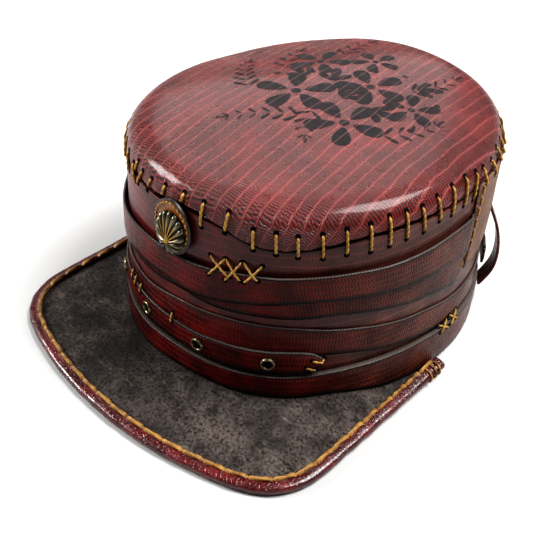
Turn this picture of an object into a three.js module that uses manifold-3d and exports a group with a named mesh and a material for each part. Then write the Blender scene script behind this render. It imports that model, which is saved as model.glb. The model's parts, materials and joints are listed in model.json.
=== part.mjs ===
// Leather kepi cap: a tall oval crown wrapped in straps, with a broad bound peak.
// Millimetres. The crown stands along +Z, the peak points to -Y and the wearer's left is +X.
// The crown's foot over the forehead lies in the plane z = 0. At the end the whole cap leans back
// until the peak's binding and the back of the lowest band stand on one level.

import * as THREE from 'three';
import Module from 'manifold-3d';
import { mergeVertices } from 'three/addons/utils/BufferGeometryUtils.js';

// Crown
const crownHalfWidth = 88.6;
const crownHalfLength = 99.2;
const crownSquareness = 2.17;
const crownHeight = 112;
const crownFlare = 1.2;
const crownWall = 2.2;
const shoulderRadius = 12;
const domeRise = 4;
const rearFall = 8;
const footDrop = 8;
const seamOpening = 2.4;
const puckerDepth = 0.9;

// Straps and bands, from the crown wall outwards
const fitGap = 0.3;
const innerBandLeather = 1;
const outerBandLeather = 1.2;
const lowerBandLeather = 2.8;
const strapStandOff = 2;

// Eyelets on the long strap
const eyeletCount = 9;
const eyeletPitch = 37.8;
const eyeletFirstDeg = 304;
const eyeletOuterRadius = 3.8;
const eyeletBoreRadius = 2.1;
const eyeletBarrelWall = 0.5;
const eyeletDepth = 1.3;
const eyeletFlange = 0.9;

// Peak
const peakHalfWidth = 103.8;
const peakEndStandOff = 12.9;
const peakReach = 148.5;
const peakSideShift = -1.2;
const peakCornerRadius = 38;
const peakFrontRadius = 225;
const peakEndY = 2;
const peakDrop = 7;
const peakEndDrop = 3;
const peakWingEase = 1.5;
const peakBoardBend = 1.4;
const peakBoard = 2.8;
const bindingWidth = 7;
const bindingLeather = 1.2;

// Patch and concho on the front
const patchDeg = 271;
const patchBelowTop = 23.7;
const patchHalfWidth = 12.5;
const patchHalfHeight = 15.2;
const patchLeather = 1.6;
const conchoDeg = 271.5;
const conchoBelowTop = 27;
const conchoHalfWidth = 9;
const conchoHalfHeight = 12;
const conchoRise = 4.5;
const conchoRim = 1.2;
const conchoRays = 16;
const conchoRayDepth = 0.7;
const conchoHubDrop = 4.5;

// Panel and keeper strap at the wearer's left rear
const panelFromDeg = 11;
const panelToDeg = 70;
const panelLeather = 1.4;
const panelSlitDeg = 0.4;
const keeperDeg = 47;
const keeperWidth = 12;
const keeperLeather = 1.6;
const keeperBulge = 9;
const keeperSlantDeg = 8;

// Facets
const roundSteps = 72;
const shoulderSteps = 4;
const domeShares = [0.3, 0.6, 0.85];
const strapTipStepDeg = 1.5;
const peakSteps = 46;
const eyeletSides = 12;

// Tables. deg is the bearing round the oval: 270 is the front, 360 the wearer's left and 90 the
// back. Heights are shares of the crown's height.

// The crown's rim falls towards the back: shares of rearFall.
const rimRows = [
  { deg: 75, fall: 0 },
  { deg: 90, fall: 0.03 },
  { deg: 102, fall: 0.14 },
  { deg: 117, fall: 0.42 },
  { deg: 132, fall: 0.8 },
  { deg: 150, fall: 1 },
  { deg: 168, fall: 1 },
  { deg: 178, fall: 0.8 },
  { deg: 187, fall: 0.66 },
  { deg: 198, fall: 0.56 },
  { deg: 210, fall: 0.45 },
  { deg: 222, fall: 0.28 },
  { deg: 236, fall: 0.08 },
  { deg: 250, fall: 0 },
  { deg: 400, fall: 0 },
];

// The crown's foot is arched over the forehead and hangs lower behind: shares of footDrop.
const footRows = [
  { deg: 12, drop: 0.9 },
  { deg: 25, drop: 1 },
  { deg: 35, drop: 1 },
  { deg: 145, drop: 1 },
  { deg: 155, drop: 1 },
  { deg: 167, drop: 0.88 },
  { deg: 180, drop: 0.72 },
  { deg: 192, drop: 0.66 },
  { deg: 225, drop: 0.5 },
  { deg: 250, drop: 0.42 },
  { deg: 258, drop: 0.38 },
  { deg: 265, drop: 0.17 },
  { deg: 272, drop: 0.02 },
  { deg: 285, drop: -0.06 },
  { deg: 300, drop: -0.03 },
  { deg: 312, drop: -0.12 },
  { deg: 323, drop: -0.33 },
  { deg: 331, drop: -0.14 },
  { deg: 339, drop: 0.25 },
  { deg: 347, drop: 0.53 },
  { deg: 356, drop: 0.7 },
  { deg: 363, drop: 0.75 },
];

const seamRows = [
  { deg: 30, edge: 0.898, open: 0.2 },
  { deg: 90, edge: 0.88, open: 0.1 },
  { deg: 140, edge: 0.893, open: 0.3 },
  { deg: 190, edge: 0.879, open: 0.1 },
  { deg: 236, edge: 0.876, open: 0.2 },
  { deg: 242, edge: 0.862, open: 0.4 },
  { deg: 250, edge: 0.868, open: 0.7 },
  { deg: 259, edge: 0.874, open: 1 },
  { deg: 266, edge: 0.882, open: 1 },
  { deg: 272, edge: 0.9, open: 1 },
  { deg: 279, edge: 0.905, open: 1 },
  { deg: 285, edge: 0.888, open: 0.6 },
  { deg: 291, edge: 0.862, open: 0 },
  { deg: 296, edge: 0.825, open: 0 },
  { deg: 304, edge: 0.815, open: 0 },
  { deg: 311, edge: 0.822, open: 0 },
  { deg: 317, edge: 0.842, open: 0.2 },
  { deg: 322, edge: 0.862, open: 0.9 },
  { deg: 328, edge: 0.878, open: 0.5 },
  { deg: 334, edge: 0.884, open: 1 },
  { deg: 341, edge: 0.893, open: 0.9 },
  { deg: 348, edge: 0.882, open: 0.9 },
  { deg: 358, edge: 0.878, open: 1 },
  { deg: 368, edge: 0.866, open: 0.5 },
];

const puckerRows = [
  { deg: 20, out: 0.3 },
  { deg: 60, out: 0.1 },
  { deg: 100, out: 0.5 },
  { deg: 140, out: 0.1 },
  { deg: 180, out: 0.5 },
  { deg: 220, out: 0.2 },
  { deg: 252, out: 0.1 },
  { deg: 262, out: 0.5 },
  { deg: 275, out: 0.2 },
  { deg: 288, out: 0.5 },
  { deg: 297, out: 0.1 },
  { deg: 306, out: 0.4 },
  { deg: 314, out: 0 },
  { deg: 323, out: 1 },
  { deg: 330, out: 0.1 },
  { deg: 337, out: 0.9 },
  { deg: 345, out: 0.1 },
  { deg: 356, out: 0.5 },
  { deg: 368, out: 0 },
];

const upperBandRows = [
  { deg: 60, low: 0.51, high: 0.69 },
  { deg: 120, low: 0.47, high: 0.65 },
  { deg: 180, low: 0.43, high: 0.61 },
  { deg: 236, low: 0.425, high: 0.582 },
  { deg: 246, low: 0.455, high: 0.612 },
  { deg: 256, low: 0.469, high: 0.629 },
  { deg: 266, low: 0.481, high: 0.64 },
  { deg: 276, low: 0.477, high: 0.642 },
  { deg: 285, low: 0.489, high: 0.657 },
  { deg: 295, low: 0.523, high: 0.682 },
  { deg: 303, low: 0.541, high: 0.688 },
  { deg: 312, low: 0.565, high: 0.701 },
  { deg: 324, low: 0.573, high: 0.712 },
  { deg: 337, low: 0.559, high: 0.71 },
  { deg: 352, low: 0.547, high: 0.716 },
  { deg: 371, low: 0.538, high: 0.722 },
];

const secondBandRows = [
  { deg: 60, low: 0.375, high: 0.53 },
  { deg: 120, low: 0.38, high: 0.53 },
  { deg: 180, low: 0.39, high: 0.53 },
  { deg: 236, low: 0.402, high: 0.53 },
  { deg: 246, low: 0.414, high: 0.55 },
  { deg: 257, low: 0.425, high: 0.57 },
  { deg: 265, low: 0.438, high: 0.58 },
  { deg: 273, low: 0.453, high: 0.6 },
  { deg: 285, low: 0.446, high: 0.62 },
  { deg: 296, low: 0.456, high: 0.635 },
  { deg: 311, low: 0.464, high: 0.65 },
  { deg: 323, low: 0.477, high: 0.65 },
  { deg: 335, low: 0.458, high: 0.64 },
  { deg: 347, low: 0.424, high: 0.62 },
  { deg: 359, low: 0.393, high: 0.6 },
  { deg: 371, low: 0.355, high: 0.59 },
];

const middleBandRows = [
  { deg: 22, low: 0.12, high: 0.262 },
  { deg: 40, low: 0.12, high: 0.26 },
  { deg: 90, low: 0.18, high: 0.31 },
  { deg: 180, low: 0.22, high: 0.33 },
  { deg: 236, low: 0.22, high: 0.336 },
  { deg: 248, low: 0.23, high: 0.344 },
  { deg: 258, low: 0.23, high: 0.352 },
  { deg: 265, low: 0.23, high: 0.367 },
  { deg: 273, low: 0.23, high: 0.387 },
  { deg: 281, low: 0.23, high: 0.394 },
  { deg: 291, low: 0.24, high: 0.407 },
  { deg: 312, low: 0.25, high: 0.411 },
  { deg: 320, low: 0.25, high: 0.4 },
  { deg: 330, low: 0.24, high: 0.382 },
  { deg: 337, low: 0.215, high: 0.363 },
  { deg: 344, low: 0.2, high: 0.344 },
  { deg: 352, low: 0.18, high: 0.327 },
  { deg: 361, low: 0.155, high: 0.3 },
  { deg: 370, low: 0.135, high: 0.271 },
];

const eyeletStrapRows = [
  { deg: 38, low: 0.15, high: 0.26, out: 1 },
  { deg: 47, low: 0.15, high: 0.26, out: 1 },
  { deg: 60, low: 0.15, high: 0.26, out: 1 },
  { deg: 82, low: 0.15, high: 0.26, out: 0 },
  { deg: 104, low: 0.15, high: 0.26, out: 0 },
  { deg: 130, low: 0.15, high: 0.26, out: 0 },
  { deg: 180, low: 0.15, high: 0.26, out: 0 },
  { deg: 236, low: 0.145, high: 0.258, out: 0 },
  { deg: 252, low: 0.142, high: 0.258, out: 0 },
  { deg: 268, low: 0.142, high: 0.259, out: 0 },
  { deg: 276, low: 0.139, high: 0.256, out: 0 },
  { deg: 286, low: 0.139, high: 0.263, out: 0 },
  { deg: 296, low: 0.143, high: 0.268, out: 0 },
  { deg: 304, low: 0.147, high: 0.274, out: 0 },
  { deg: 312, low: 0.155, high: 0.285, out: 0 },
  { deg: 317.5, low: 0.172, high: 0.272, out: 0 },
  { deg: 320, low: 0.198, high: 0.242, out: 0 },
];

const lowerBandRows = [
  { deg: 27, high: 0.115 },
  { deg: 50, high: 0.115 },
  { deg: 90, high: 0.115 },
  { deg: 180, high: 0.11 },
  { deg: 236, high: 0.095 },
  { deg: 257, high: 0.1 },
  { deg: 265, high: 0.11 },
  { deg: 273, high: 0.115 },
  { deg: 285, high: 0.119 },
  { deg: 300, high: 0.124 },
  { deg: 312, high: 0.136 },
  { deg: 324, high: 0.159 },
  { deg: 337, high: 0.165 },
  { deg: 345, high: 0.159 },
  { deg: 353, high: 0.15 },
  { deg: 363, high: 0.132 },
];

const panelRows = [
  { deg: 11, low: 0.415, high: 0.872 },
  { deg: 34, low: 0.43, high: 0.866 },
  { deg: 70, low: 0.42, high: 0.858 },
];

// The keeper strap from its foot upwards. out is the share of its bulge and ahead the share of its
// slant towards the front.
const keeperRows = [
  { up: 0.04, out: 0.2, ahead: 1 },
  { up: 0.08, out: 0.5, ahead: 0.97 },
  { up: 0.13, out: 0.85, ahead: 0.9 },
  { up: 0.19, out: 1, ahead: 0.78 },
  { up: 0.26, out: 0.98, ahead: 0.62 },
  { up: 0.33, out: 0.8, ahead: 0.42 },
  { up: 0.39, out: 0.45, ahead: 0.22 },
  { up: 0.44, out: 0.12, ahead: 0.08 },
  { up: 0.5, out: 0, ahead: 0 },
  { up: 0.62, out: 0, ahead: 0 },
  { up: 0.78, out: 0, ahead: 0 },
];

// Half of the patch's outline from foot to tip: up in half heights, side in half widths.
const patchRows = [
  { up: -1, side: 0 },
  { up: -0.93, side: 0.42 },
  { up: -0.75, side: 0.75 },
  { up: -0.4, side: 0.96 },
  { up: 0, side: 1 },
  { up: 0.4, side: 0.88 },
  { up: 0.7, side: 0.62 },
  { up: 0.9, side: 0.32 },
  { up: 1, side: 0 },
];

// Places of the strap's layers: how far the inner face of each lies outside the wall.
const innerLayer = fitGap;
const outerLayer = innerLayer + innerBandLeather + fitGap;

const rad = THREE.MathUtils.degToRad;
const wasm = await Module();
wasm.setup();

// Value of a table's column at a bearing, on a smooth curve that closes after a full turn.
function along(rows, column, deg) {
  const count = rows.length;
  const start = rows[0].deg;
  const turned = THREE.MathUtils.euclideanModulo(deg - start, 360) + start;
  const at = (index) => {
    const turn = Math.floor(index / count);
    const row = rows[THREE.MathUtils.euclideanModulo(index, count)];
    return { x: row.deg + 360 * turn, y: row[column] };
  };
  let low = count - 1;
  while (low > 0 && rows[low].deg > turned) {
    low -= 1;
  }
  return hermite(at(low - 1), at(low), at(low + 1), at(low + 2), turned);
}

// Cubic through the two middle points, with the slopes that their neighbours give.
function hermite(before, from, to, after, x) {
  const span = to.x - from.x;
  const slopeFrom = (to.y - before.y) / (to.x - before.x);
  const slopeTo = (after.y - from.y) / (after.x - from.x);
  const t = (x - from.x) / span;
  const rise = to.y - from.y;
  const bendFrom = slopeFrom * span - rise;
  const bendTo = rise - slopeTo * span;
  return from.y + rise * t + t * (1 - t) * (bendFrom * (1 - t) + bendTo * t);
}

// Point at a bearing on the oval that lies a distance outside the crown wall.
function ovalPoint(deg, offset, z) {
  const across = Math.cos(rad(deg));
  const ahead = Math.sin(rad(deg));
  const power = Math.abs(across) ** crownSquareness + Math.abs(ahead) ** crownSquareness;
  const reach = power ** (-1 / crownSquareness);
  const grow = offset + crownFlare * z / crownHeight;
  const x = (crownHalfWidth + grow) * reach * across;
  const y = (crownHalfLength + grow) * reach * ahead;
  return new THREE.Vector3(x, y, z);
}

// Frame on the crown: x runs along the strap, y up the wall and z straight out of it.
function wallFrame(deg, offset, z) {
  const step = 0.5;
  const origin = ovalPoint(deg, offset, z);
  const side = ovalPoint(deg + step, offset, z).sub(ovalPoint(deg - step, offset, z)).normalize();
  const up = ovalPoint(deg, offset, z + step).sub(ovalPoint(deg, offset, z - step)).normalize();
  const out = new THREE.Vector3().crossVectors(side, up).normalize();
  return new THREE.Matrix4().makeBasis(side, up, out).setPosition(origin);
}

// Bearing that lies a distance along the oval from another bearing, walked towards lower ones.
function bearingBehind(fromDeg, distance, offset) {
  const step = 0.1;
  let deg = fromDeg;
  let walked = 0;
  while (walked < distance) {
    walked += ovalPoint(deg, offset, 0).distanceTo(ovalPoint(deg - step, offset, 0));
    deg -= step;
  }
  return deg;
}

// Height of the crown's rim, and of its foot, at a bearing.
function rimHeight(deg) {
  return crownHeight - rearFall * along(rimRows, 'fall', deg);
}

function footHeight(deg) {
  return -footDrop * along(footRows, 'drop', deg);
}

// Closed geometry from points and triangles, with its faces turned outwards.
function solid(points, triangles) {
  let volume = 0;
  for (const [a, b, c] of triangles) {
    volume += points[a].dot(new THREE.Vector3().crossVectors(points[b], points[c]));
  }
  const index = triangles.flatMap(([a, b, c]) => (volume > 0 ? [a, b, c] : [a, c, b]));
  const geometry = new THREE.BufferGeometry().setFromPoints(points);
  geometry.setIndex(index);
  return geometry;
}

// Loft through equal loops of points: a closed ring, or a bar with a flat cap at each end.
function loft(loops, closed) {
  const size = loops[0].length;
  const points = loops.flat();
  const triangles = [];
  const spans = closed ? loops.length : loops.length - 1;
  for (let i = 0; i < spans; i += 1) {
    const next = ((i + 1) % loops.length) * size;
    for (let j = 0; j < size; j += 1) {
      const k = (j + 1) % size;
      triangles.push([i * size + j, next + j, next + k], [i * size + j, next + k, i * size + k]);
    }
  }
  if (!closed) {
    const last = (loops.length - 1) * size;
    for (const [a, b, c] of capTriangles(loops[0])) {
      triangles.push([a, b, c]);
    }
    for (const [a, b, c] of capTriangles(loops[loops.length - 1])) {
      triangles.push([last + a, last + c, last + b]);
    }
  }
  return solid(points, triangles);
}

// Triangles that fill a flat loop, turned as the first cap of a loft needs them.
function capTriangles(loop) {
  const normal = new THREE.Vector3();
  for (let i = 1; i < loop.length - 1; i += 1) {
    const a = loop[i].clone().sub(loop[0]);
    const b = loop[i + 1].clone().sub(loop[0]);
    normal.add(a.cross(b));
  }
  const side = loop[1].clone().sub(loop[0]).normalize();
  const up = new THREE.Vector3().crossVectors(normal.normalize(), side);
  const flat = loop.map((point) => new THREE.Vector2(point.dot(side), point.dot(up)));
  return THREE.ShapeUtils.triangulateShape(flat, []);
}

function bearings(fromDeg, toDeg) {
  const count = Math.max(4, Math.round(roundSteps * (toDeg - fromDeg) / 360));
  return Array.from({ length: count + 1 }, (_, i) => fromDeg + (toDeg - fromDeg) * i / count);
}

function fullTurn() {
  return bearings(0, 360).slice(0, -1);
}

// Section of a strap at one bearing: inner face first, then the outer one.
function strapSection(deg, inner, outer, low, high) {
  return [
    ovalPoint(deg, inner, low),
    ovalPoint(deg, inner, high),
    ovalPoint(deg, outer, high),
    ovalPoint(deg, outer, low),
  ];
}

// Edges of a strap at a bearing, from its table.
function tableEdges(rows) {
  return (deg) => [crownHeight * along(rows, 'low', deg), crownHeight * along(rows, 'high', deg)];
}

// The lowest band ends flush with the crown's foot.
function lowerBandEdges(deg) {
  return [footHeight(deg), crownHeight * along(lowerBandRows, 'high', deg)];
}

// Strap laid round the crown between its two edges.
function strap(edgesAt, degrees, inner, leather, closed, liftAt = () => 0) {
  const loops = degrees.map((deg) => {
    const face = inner + liftAt(deg);
    const [low, high] = edgesAt(deg);
    return strapSection(deg, face, face + leather, low, high);
  });
  return loft(loops, closed);
}

function toManifold(geometry) {
  const bare = new THREE.BufferGeometry();
  bare.setAttribute('position', geometry.getAttribute('position'));
  bare.setIndex(geometry.getIndex());
  const merged = mergeVertices(bare, 1e-5);
  const vertProperties = new Float32Array(merged.getAttribute('position').array);
  const triVerts = new Uint32Array(merged.getIndex().array);
  return new wasm.Manifold(new wasm.Mesh({ numProp: 3, vertProperties, triVerts }));
}

function fromManifold(manifold) {
  const mesh = manifold.getMesh();
  const geometry = new THREE.BufferGeometry();
  geometry.setAttribute('position', new THREE.BufferAttribute(mesh.vertProperties, 3));
  geometry.setIndex(new THREE.BufferAttribute(mesh.triVerts, 1));
  return geometry;
}

// Height of the top piece's lower edge, and of the wall's upper edge that meets it.
function seamEdge(deg) {
  return crownHeight * along(seamRows, 'edge', deg) - (crownHeight - rimHeight(deg));
}

function wallEdge(deg) {
  return seamEdge(deg) - fitGap - seamOpening * Math.max(0, along(seamRows, 'open', deg));
}

function crownWallSolid() {
  const edgesAt = (deg) => [footHeight(deg), wallEdge(deg)];
  return strap(edgesAt, fullTurn(), -crownWall, crownWall, true);
}

// How far the top piece's skin lies outside the wall at a height, a depth under its outer face.
function skinOffset(deg, z, depth) {
  const above = Math.max(0, z - (rimHeight(deg) - shoulderRadius));
  const bend = shoulderRadius - depth;
  return Math.sqrt(Math.max(0, bend * bend - above * above)) - shoulderRadius;
}

// One skin of the top piece at a bearing, from beside the middle over the shoulder to the edge.
// The middle itself is left out, because all bearings share it.
function skinLine(deg, depth) {
  const shoulderFoot = rimHeight(deg) - shoulderRadius;
  const pucker = puckerDepth * Math.max(0, along(puckerRows, 'out', deg));
  const edge = seamEdge(deg);
  const skirtTop = Math.max(shoulderFoot, edge + 4 * fitGap);
  const rim = ovalPoint(deg, -shoulderRadius, crownHeight);
  const points = domeShares.map((share) => {
    const z = THREE.MathUtils.lerp(crownHeight + domeRise, rimHeight(deg), share * share) - depth;
    return new THREE.Vector3(rim.x * share, rim.y * share, z);
  });
  const bend = shoulderRadius - depth;
  const lowest = Math.asin((skirtTop - shoulderFoot) / bend);
  for (let i = shoulderSteps; i >= 0; i -= 1) {
    const turn = lowest + (Math.PI / 2 - lowest) * i / shoulderSteps;
    const z = shoulderFoot + bend * Math.sin(turn);
    points.push(ovalPoint(deg, bend * Math.cos(turn) - shoulderRadius, z));
  }
  const middle = (skirtTop + edge) / 2;
  points.push(ovalPoint(deg, skinOffset(deg, middle, depth) + pucker, middle));
  points.push(ovalPoint(deg, skinOffset(deg, edge, depth) + pucker / 2, edge));
  return points;
}

// Both skins of the top piece at a bearing: down the outer one, back up the inner one.
function crownTopLine(deg) {
  return [...skinLine(deg, 0), ...skinLine(deg, crownWall).reverse()];
}

function crownTopSolid() {
  const lines = fullTurn().map(crownTopLine);
  const size = lines[0].length;
  const points = lines.flat();
  const outerMiddle = points.length;
  const innerMiddle = outerMiddle + 1;
  points.push(new THREE.Vector3(0, 0, crownHeight + domeRise));
  points.push(new THREE.Vector3(0, 0, crownHeight + domeRise - crownWall));
  const triangles = [];
  for (let i = 0; i < lines.length; i += 1) {
    const here = i * size;
    const next = ((i + 1) % lines.length) * size;
    triangles.push([outerMiddle, here, next]);
    for (let j = 0; j < size - 1; j += 1) {
      triangles.push([here + j, here + j + 1, next + j + 1], [here + j, next + j + 1, next + j]);
    }
    triangles.push([innerMiddle, next + size - 1, here + size - 1]);
  }
  return solid(points, triangles);
}

// Outer line of the peak's binding from the wearer's left end round the front to the right end.
// Corners are arcs, the front is a flat arc and the sides close in a little towards the ends.
function peakOutline() {
  const frontMiddleY = peakFrontRadius - peakReach;
  const apart = peakFrontRadius - peakCornerRadius;
  const cornerX = peakHalfWidth - peakCornerRadius;
  const cornerY = frontMiddleY - Math.sqrt(apart * apart - cornerX * cornerX);
  const meet = Math.atan2(cornerY - frontMiddleY, cornerX);
  const outline = new THREE.Path();
  outline.moveTo(crownHalfWidth + peakEndStandOff, peakEndY);
  outline.lineTo(peakHalfWidth, cornerY);
  outline.absarc(cornerX, cornerY, peakCornerRadius, 0, meet, true);
  outline.absarc(0, frontMiddleY, peakFrontRadius, meet, -Math.PI - meet, true);
  outline.absarc(-cornerX, cornerY, peakCornerRadius, -Math.PI - meet, -Math.PI, true);
  outline.lineTo(-crownHalfWidth - peakEndStandOff, peakEndY);
  return outline.getSpacedPoints(peakSteps);
}

// Stations along the peak: the outline's point, its outward direction and the board's height.
function peakStations() {
  const line = peakOutline();
  return line.map((point, i) => {
    const from = line[Math.max(0, i - 1)];
    const to = line[Math.min(line.length - 1, i + 1)];
    const out = new THREE.Vector2(from.y - to.y, to.x - from.x).normalize();
    const x = point.x + peakSideShift;
    return { x, y: point.y, out, top: peakEdgeHeight(point.y) };
  });
}

// Height of the board's upper face at its edge: lowest in front.
function peakEdgeHeight(y) {
  const ahead = (peakEndY - y) / (peakReach + peakEndY);
  const eased = 1 - (1 - Math.min(1, Math.max(0, ahead))) ** peakWingEase;
  return -THREE.MathUtils.lerp(peakEndDrop, peakDrop, eased);
}

function bearingOf(x, y) {
  return THREE.MathUtils.radToDeg(Math.atan2(y / crownHalfLength, x / crownHalfWidth));
}

// Board of the peak: flat under the crown's foot, then bent down or up to the binding, and level
// again inside the binding's fold.
function peakSolid() {
  const bendShares = [0.35, 0.7, 1];
  const loops = peakStations().map((station) => {
    const rim = new THREE.Vector2(station.x, station.y);
    const edge = rim.clone().addScaledVector(station.out, -bindingLeather - fitGap);
    const fold = rim.clone().addScaledVector(station.out, -bindingWidth - fitGap);
    const deg = bearingOf(fold.x, fold.y);
    const level = footHeight(deg) - fitGap;
    const hidden = ovalPoint(deg, -crownWall, level);
    const seat = ovalPoint(deg, innerLayer + lowerBandLeather + fitGap, level);
    const upper = [hidden, seat];
    for (const share of bendShares) {
      const x = THREE.MathUtils.lerp(seat.x, fold.x, share);
      const y = THREE.MathUtils.lerp(seat.y, fold.y, share);
      const z = THREE.MathUtils.lerp(level, station.top, share ** peakBoardBend);
      upper.push(new THREE.Vector3(x, y, z));
    }
    upper.push(new THREE.Vector3(edge.x, edge.y, station.top));
    const lower = upper.map((point) => point.clone().setZ(point.z - peakBoard));
    return [...upper, ...lower.reverse()];
  });
  return loft(loops, false);
}

// Binding: one strip of leather folded round the board's edge. The section is drawn with out as
// the distance inwards from the outline and up from the board's middle.
function peakBindingSolid() {
  const slot = peakBoard / 2 + fitGap;
  const half = slot + bindingLeather;
  const section = [
    { out: bindingWidth, up: half - bindingLeather / 3 },
    { out: bindingWidth * 0.6, up: half },
    { out: bindingWidth * 0.22, up: half * 0.84 },
    { out: bindingWidth * 0.04, up: half * 0.4 },
    { out: bindingWidth * 0.04, up: -half * 0.4 },
    { out: bindingWidth * 0.22, up: -half * 0.84 },
    { out: bindingWidth * 0.6, up: -half },
    { out: bindingWidth, up: -half + bindingLeather / 3 },
    { out: bindingWidth, up: -slot },
    { out: bindingLeather, up: -slot },
    { out: bindingLeather, up: slot },
    { out: bindingWidth, up: slot },
  ];
  const loops = peakStations().map((station) => section.map((corner) => {
    const x = station.x - station.out.x * corner.out;
    const y = station.y - station.out.y * corner.out;
    return new THREE.Vector3(x, y, station.top - peakBoard / 2 + corner.up);
  }));
  return loft(loops, false);
}

function eyeletBearings() {
  const face = outerLayer + outerBandLeather;
  return Array.from({ length: eyeletCount }, (_, i) => (
    bearingBehind(eyeletFirstDeg, i * eyeletPitch, face)));
}

// Frame of an eyelet: on the middle line of the strap, its origin on the strap's outer face.
function eyeletFrame(deg) {
  const low = along(eyeletStrapRows, 'low', deg);
  const high = along(eyeletStrapRows, 'high', deg);
  const lift = strapStandOff * along(eyeletStrapRows, 'out', deg);
  const face = outerLayer + lift + outerBandLeather;
  return wallFrame(deg, face, crownHeight * (low + high) / 2);
}

function eyeletStrapSolid() {
  const tipDeg = eyeletStrapRows[eyeletStrapRows.length - 1].deg;
  const tailDeg = eyeletStrapRows[0].deg;
  const tipSteps = [3, 2, 1, 0].map((steps) => tipDeg - steps * strapTipStepDeg);
  const degrees = [...bearings(tailDeg, tipDeg - 4 * strapTipStepDeg), ...tipSteps];
  const lift = (deg) => strapStandOff * along(eyeletStrapRows, 'out', deg);
  const body = strap(tableEdges(eyeletStrapRows), degrees, outerLayer, outerBandLeather, false, lift);
  let pierced = toManifold(body);
  const holeRadius = eyeletBoreRadius + eyeletBarrelWall + fitGap;
  for (const deg of eyeletBearings()) {
    const drill = new THREE.CylinderGeometry(holeRadius, holeRadius, 4 * outerBandLeather, eyeletSides);
    drill.rotateX(Math.PI / 2).applyMatrix4(eyeletFrame(deg));
    pierced = pierced.subtract(toManifold(drill));
  }
  return fromManifold(pierced);
}

// Eyelet turned round z: a rolled flange on the strap's face and a barrel down the hole.
function eyeletSolid() {
  const barrel = eyeletBoreRadius + eyeletBarrelWall;
  const profile = [
    new THREE.Vector2(eyeletBoreRadius, -eyeletDepth),
    new THREE.Vector2(barrel, -eyeletDepth),
    new THREE.Vector2(barrel, fitGap),
    new THREE.Vector2(eyeletOuterRadius, fitGap),
    new THREE.Vector2(eyeletOuterRadius * 0.97, fitGap + eyeletFlange * 0.55),
    new THREE.Vector2((eyeletOuterRadius + barrel) / 2, fitGap + eyeletFlange),
    new THREE.Vector2(barrel, fitGap + eyeletFlange * 0.8),
    new THREE.Vector2(eyeletBoreRadius, fitGap),
  ];
  const turns = Array.from({ length: eyeletSides }, (_, i) => 2 * Math.PI * i / eyeletSides);
  const loops = turns.map((turn) => profile.map((point) => (
    new THREE.Vector3(point.x * Math.cos(turn), point.x * Math.sin(turn), point.y))));
  return loft(loops, true);
}

// How far the patch's inner face lies outside the wall: over the upper band it stands on the
// band, and higher up it drops to the wall and the pucker of the top piece.
function patchOffset(z) {
  const bandTop = crownHeight * along(upperBandRows, 'high', patchDeg);
  const onBand = outerLayer + outerBandLeather + fitGap;
  const onWall = puckerDepth + fitGap;
  const drop = THREE.MathUtils.smoothstep(z, bandTop + 2 * fitGap, bandTop + patchHalfHeight);
  return THREE.MathUtils.lerp(onBand, onWall, drop);
}

// Point of the patch: side and up in millimetres from its middle, depth from its inner face.
function patchPoint(side, up, depth) {
  const z = crownHeight - patchBelowTop + up;
  const perDegree = ovalPoint(patchDeg - 0.5, 0, z).distanceTo(ovalPoint(patchDeg + 0.5, 0, z));
  return ovalPoint(patchDeg + side / perDegree, patchOffset(z) + depth, z);
}

function patchSolid() {
  const right = patchRows.map((row) => ({ side: row.side, up: row.up }));
  const left = patchRows.slice(1, -1).reverse().map((row) => ({ side: -row.side, up: row.up }));
  const outline = [...right, ...left];
  const rings = [0.4, 0.75, 1];
  const count = outline.length;
  const points = [];
  for (const depth of [0, patchLeather]) {
    points.push(patchPoint(0, 0, depth));
    for (const ring of rings) {
      for (const corner of outline) {
        const side = corner.side * patchHalfWidth * ring;
        points.push(patchPoint(side, corner.up * patchHalfHeight * ring, depth));
      }
    }
  }
  const sheet = 1 + rings.length * count;
  const triangles = [];
  const at = (layer, ring, i) => layer * sheet + 1 + ring * count + (i % count);
  for (let i = 0; i < count; i += 1) {
    triangles.push([0, at(0, 0, i), at(0, 0, i + 1)]);
    triangles.push([sheet, at(1, 0, i + 1), at(1, 0, i)]);
    for (let ring = 0; ring < rings.length - 1; ring += 1) {
      for (const layer of [0, 1]) {
        const quad = [at(layer, ring, i), at(layer, ring + 1, i), at(layer, ring + 1, i + 1),
          at(layer, ring, i + 1)];
        const turned = layer === 0 ? quad : quad.reverse();
        triangles.push([turned[0], turned[1], turned[2]], [turned[0], turned[2], turned[3]]);
      }
    }
    const rim = rings.length - 1;
    triangles.push([at(0, rim, i), at(1, rim, i), at(1, rim, i + 1)]);
    triangles.push([at(0, rim, i), at(1, rim, i + 1), at(0, rim, i + 1)]);
  }
  return solid(points, triangles);
}

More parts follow.
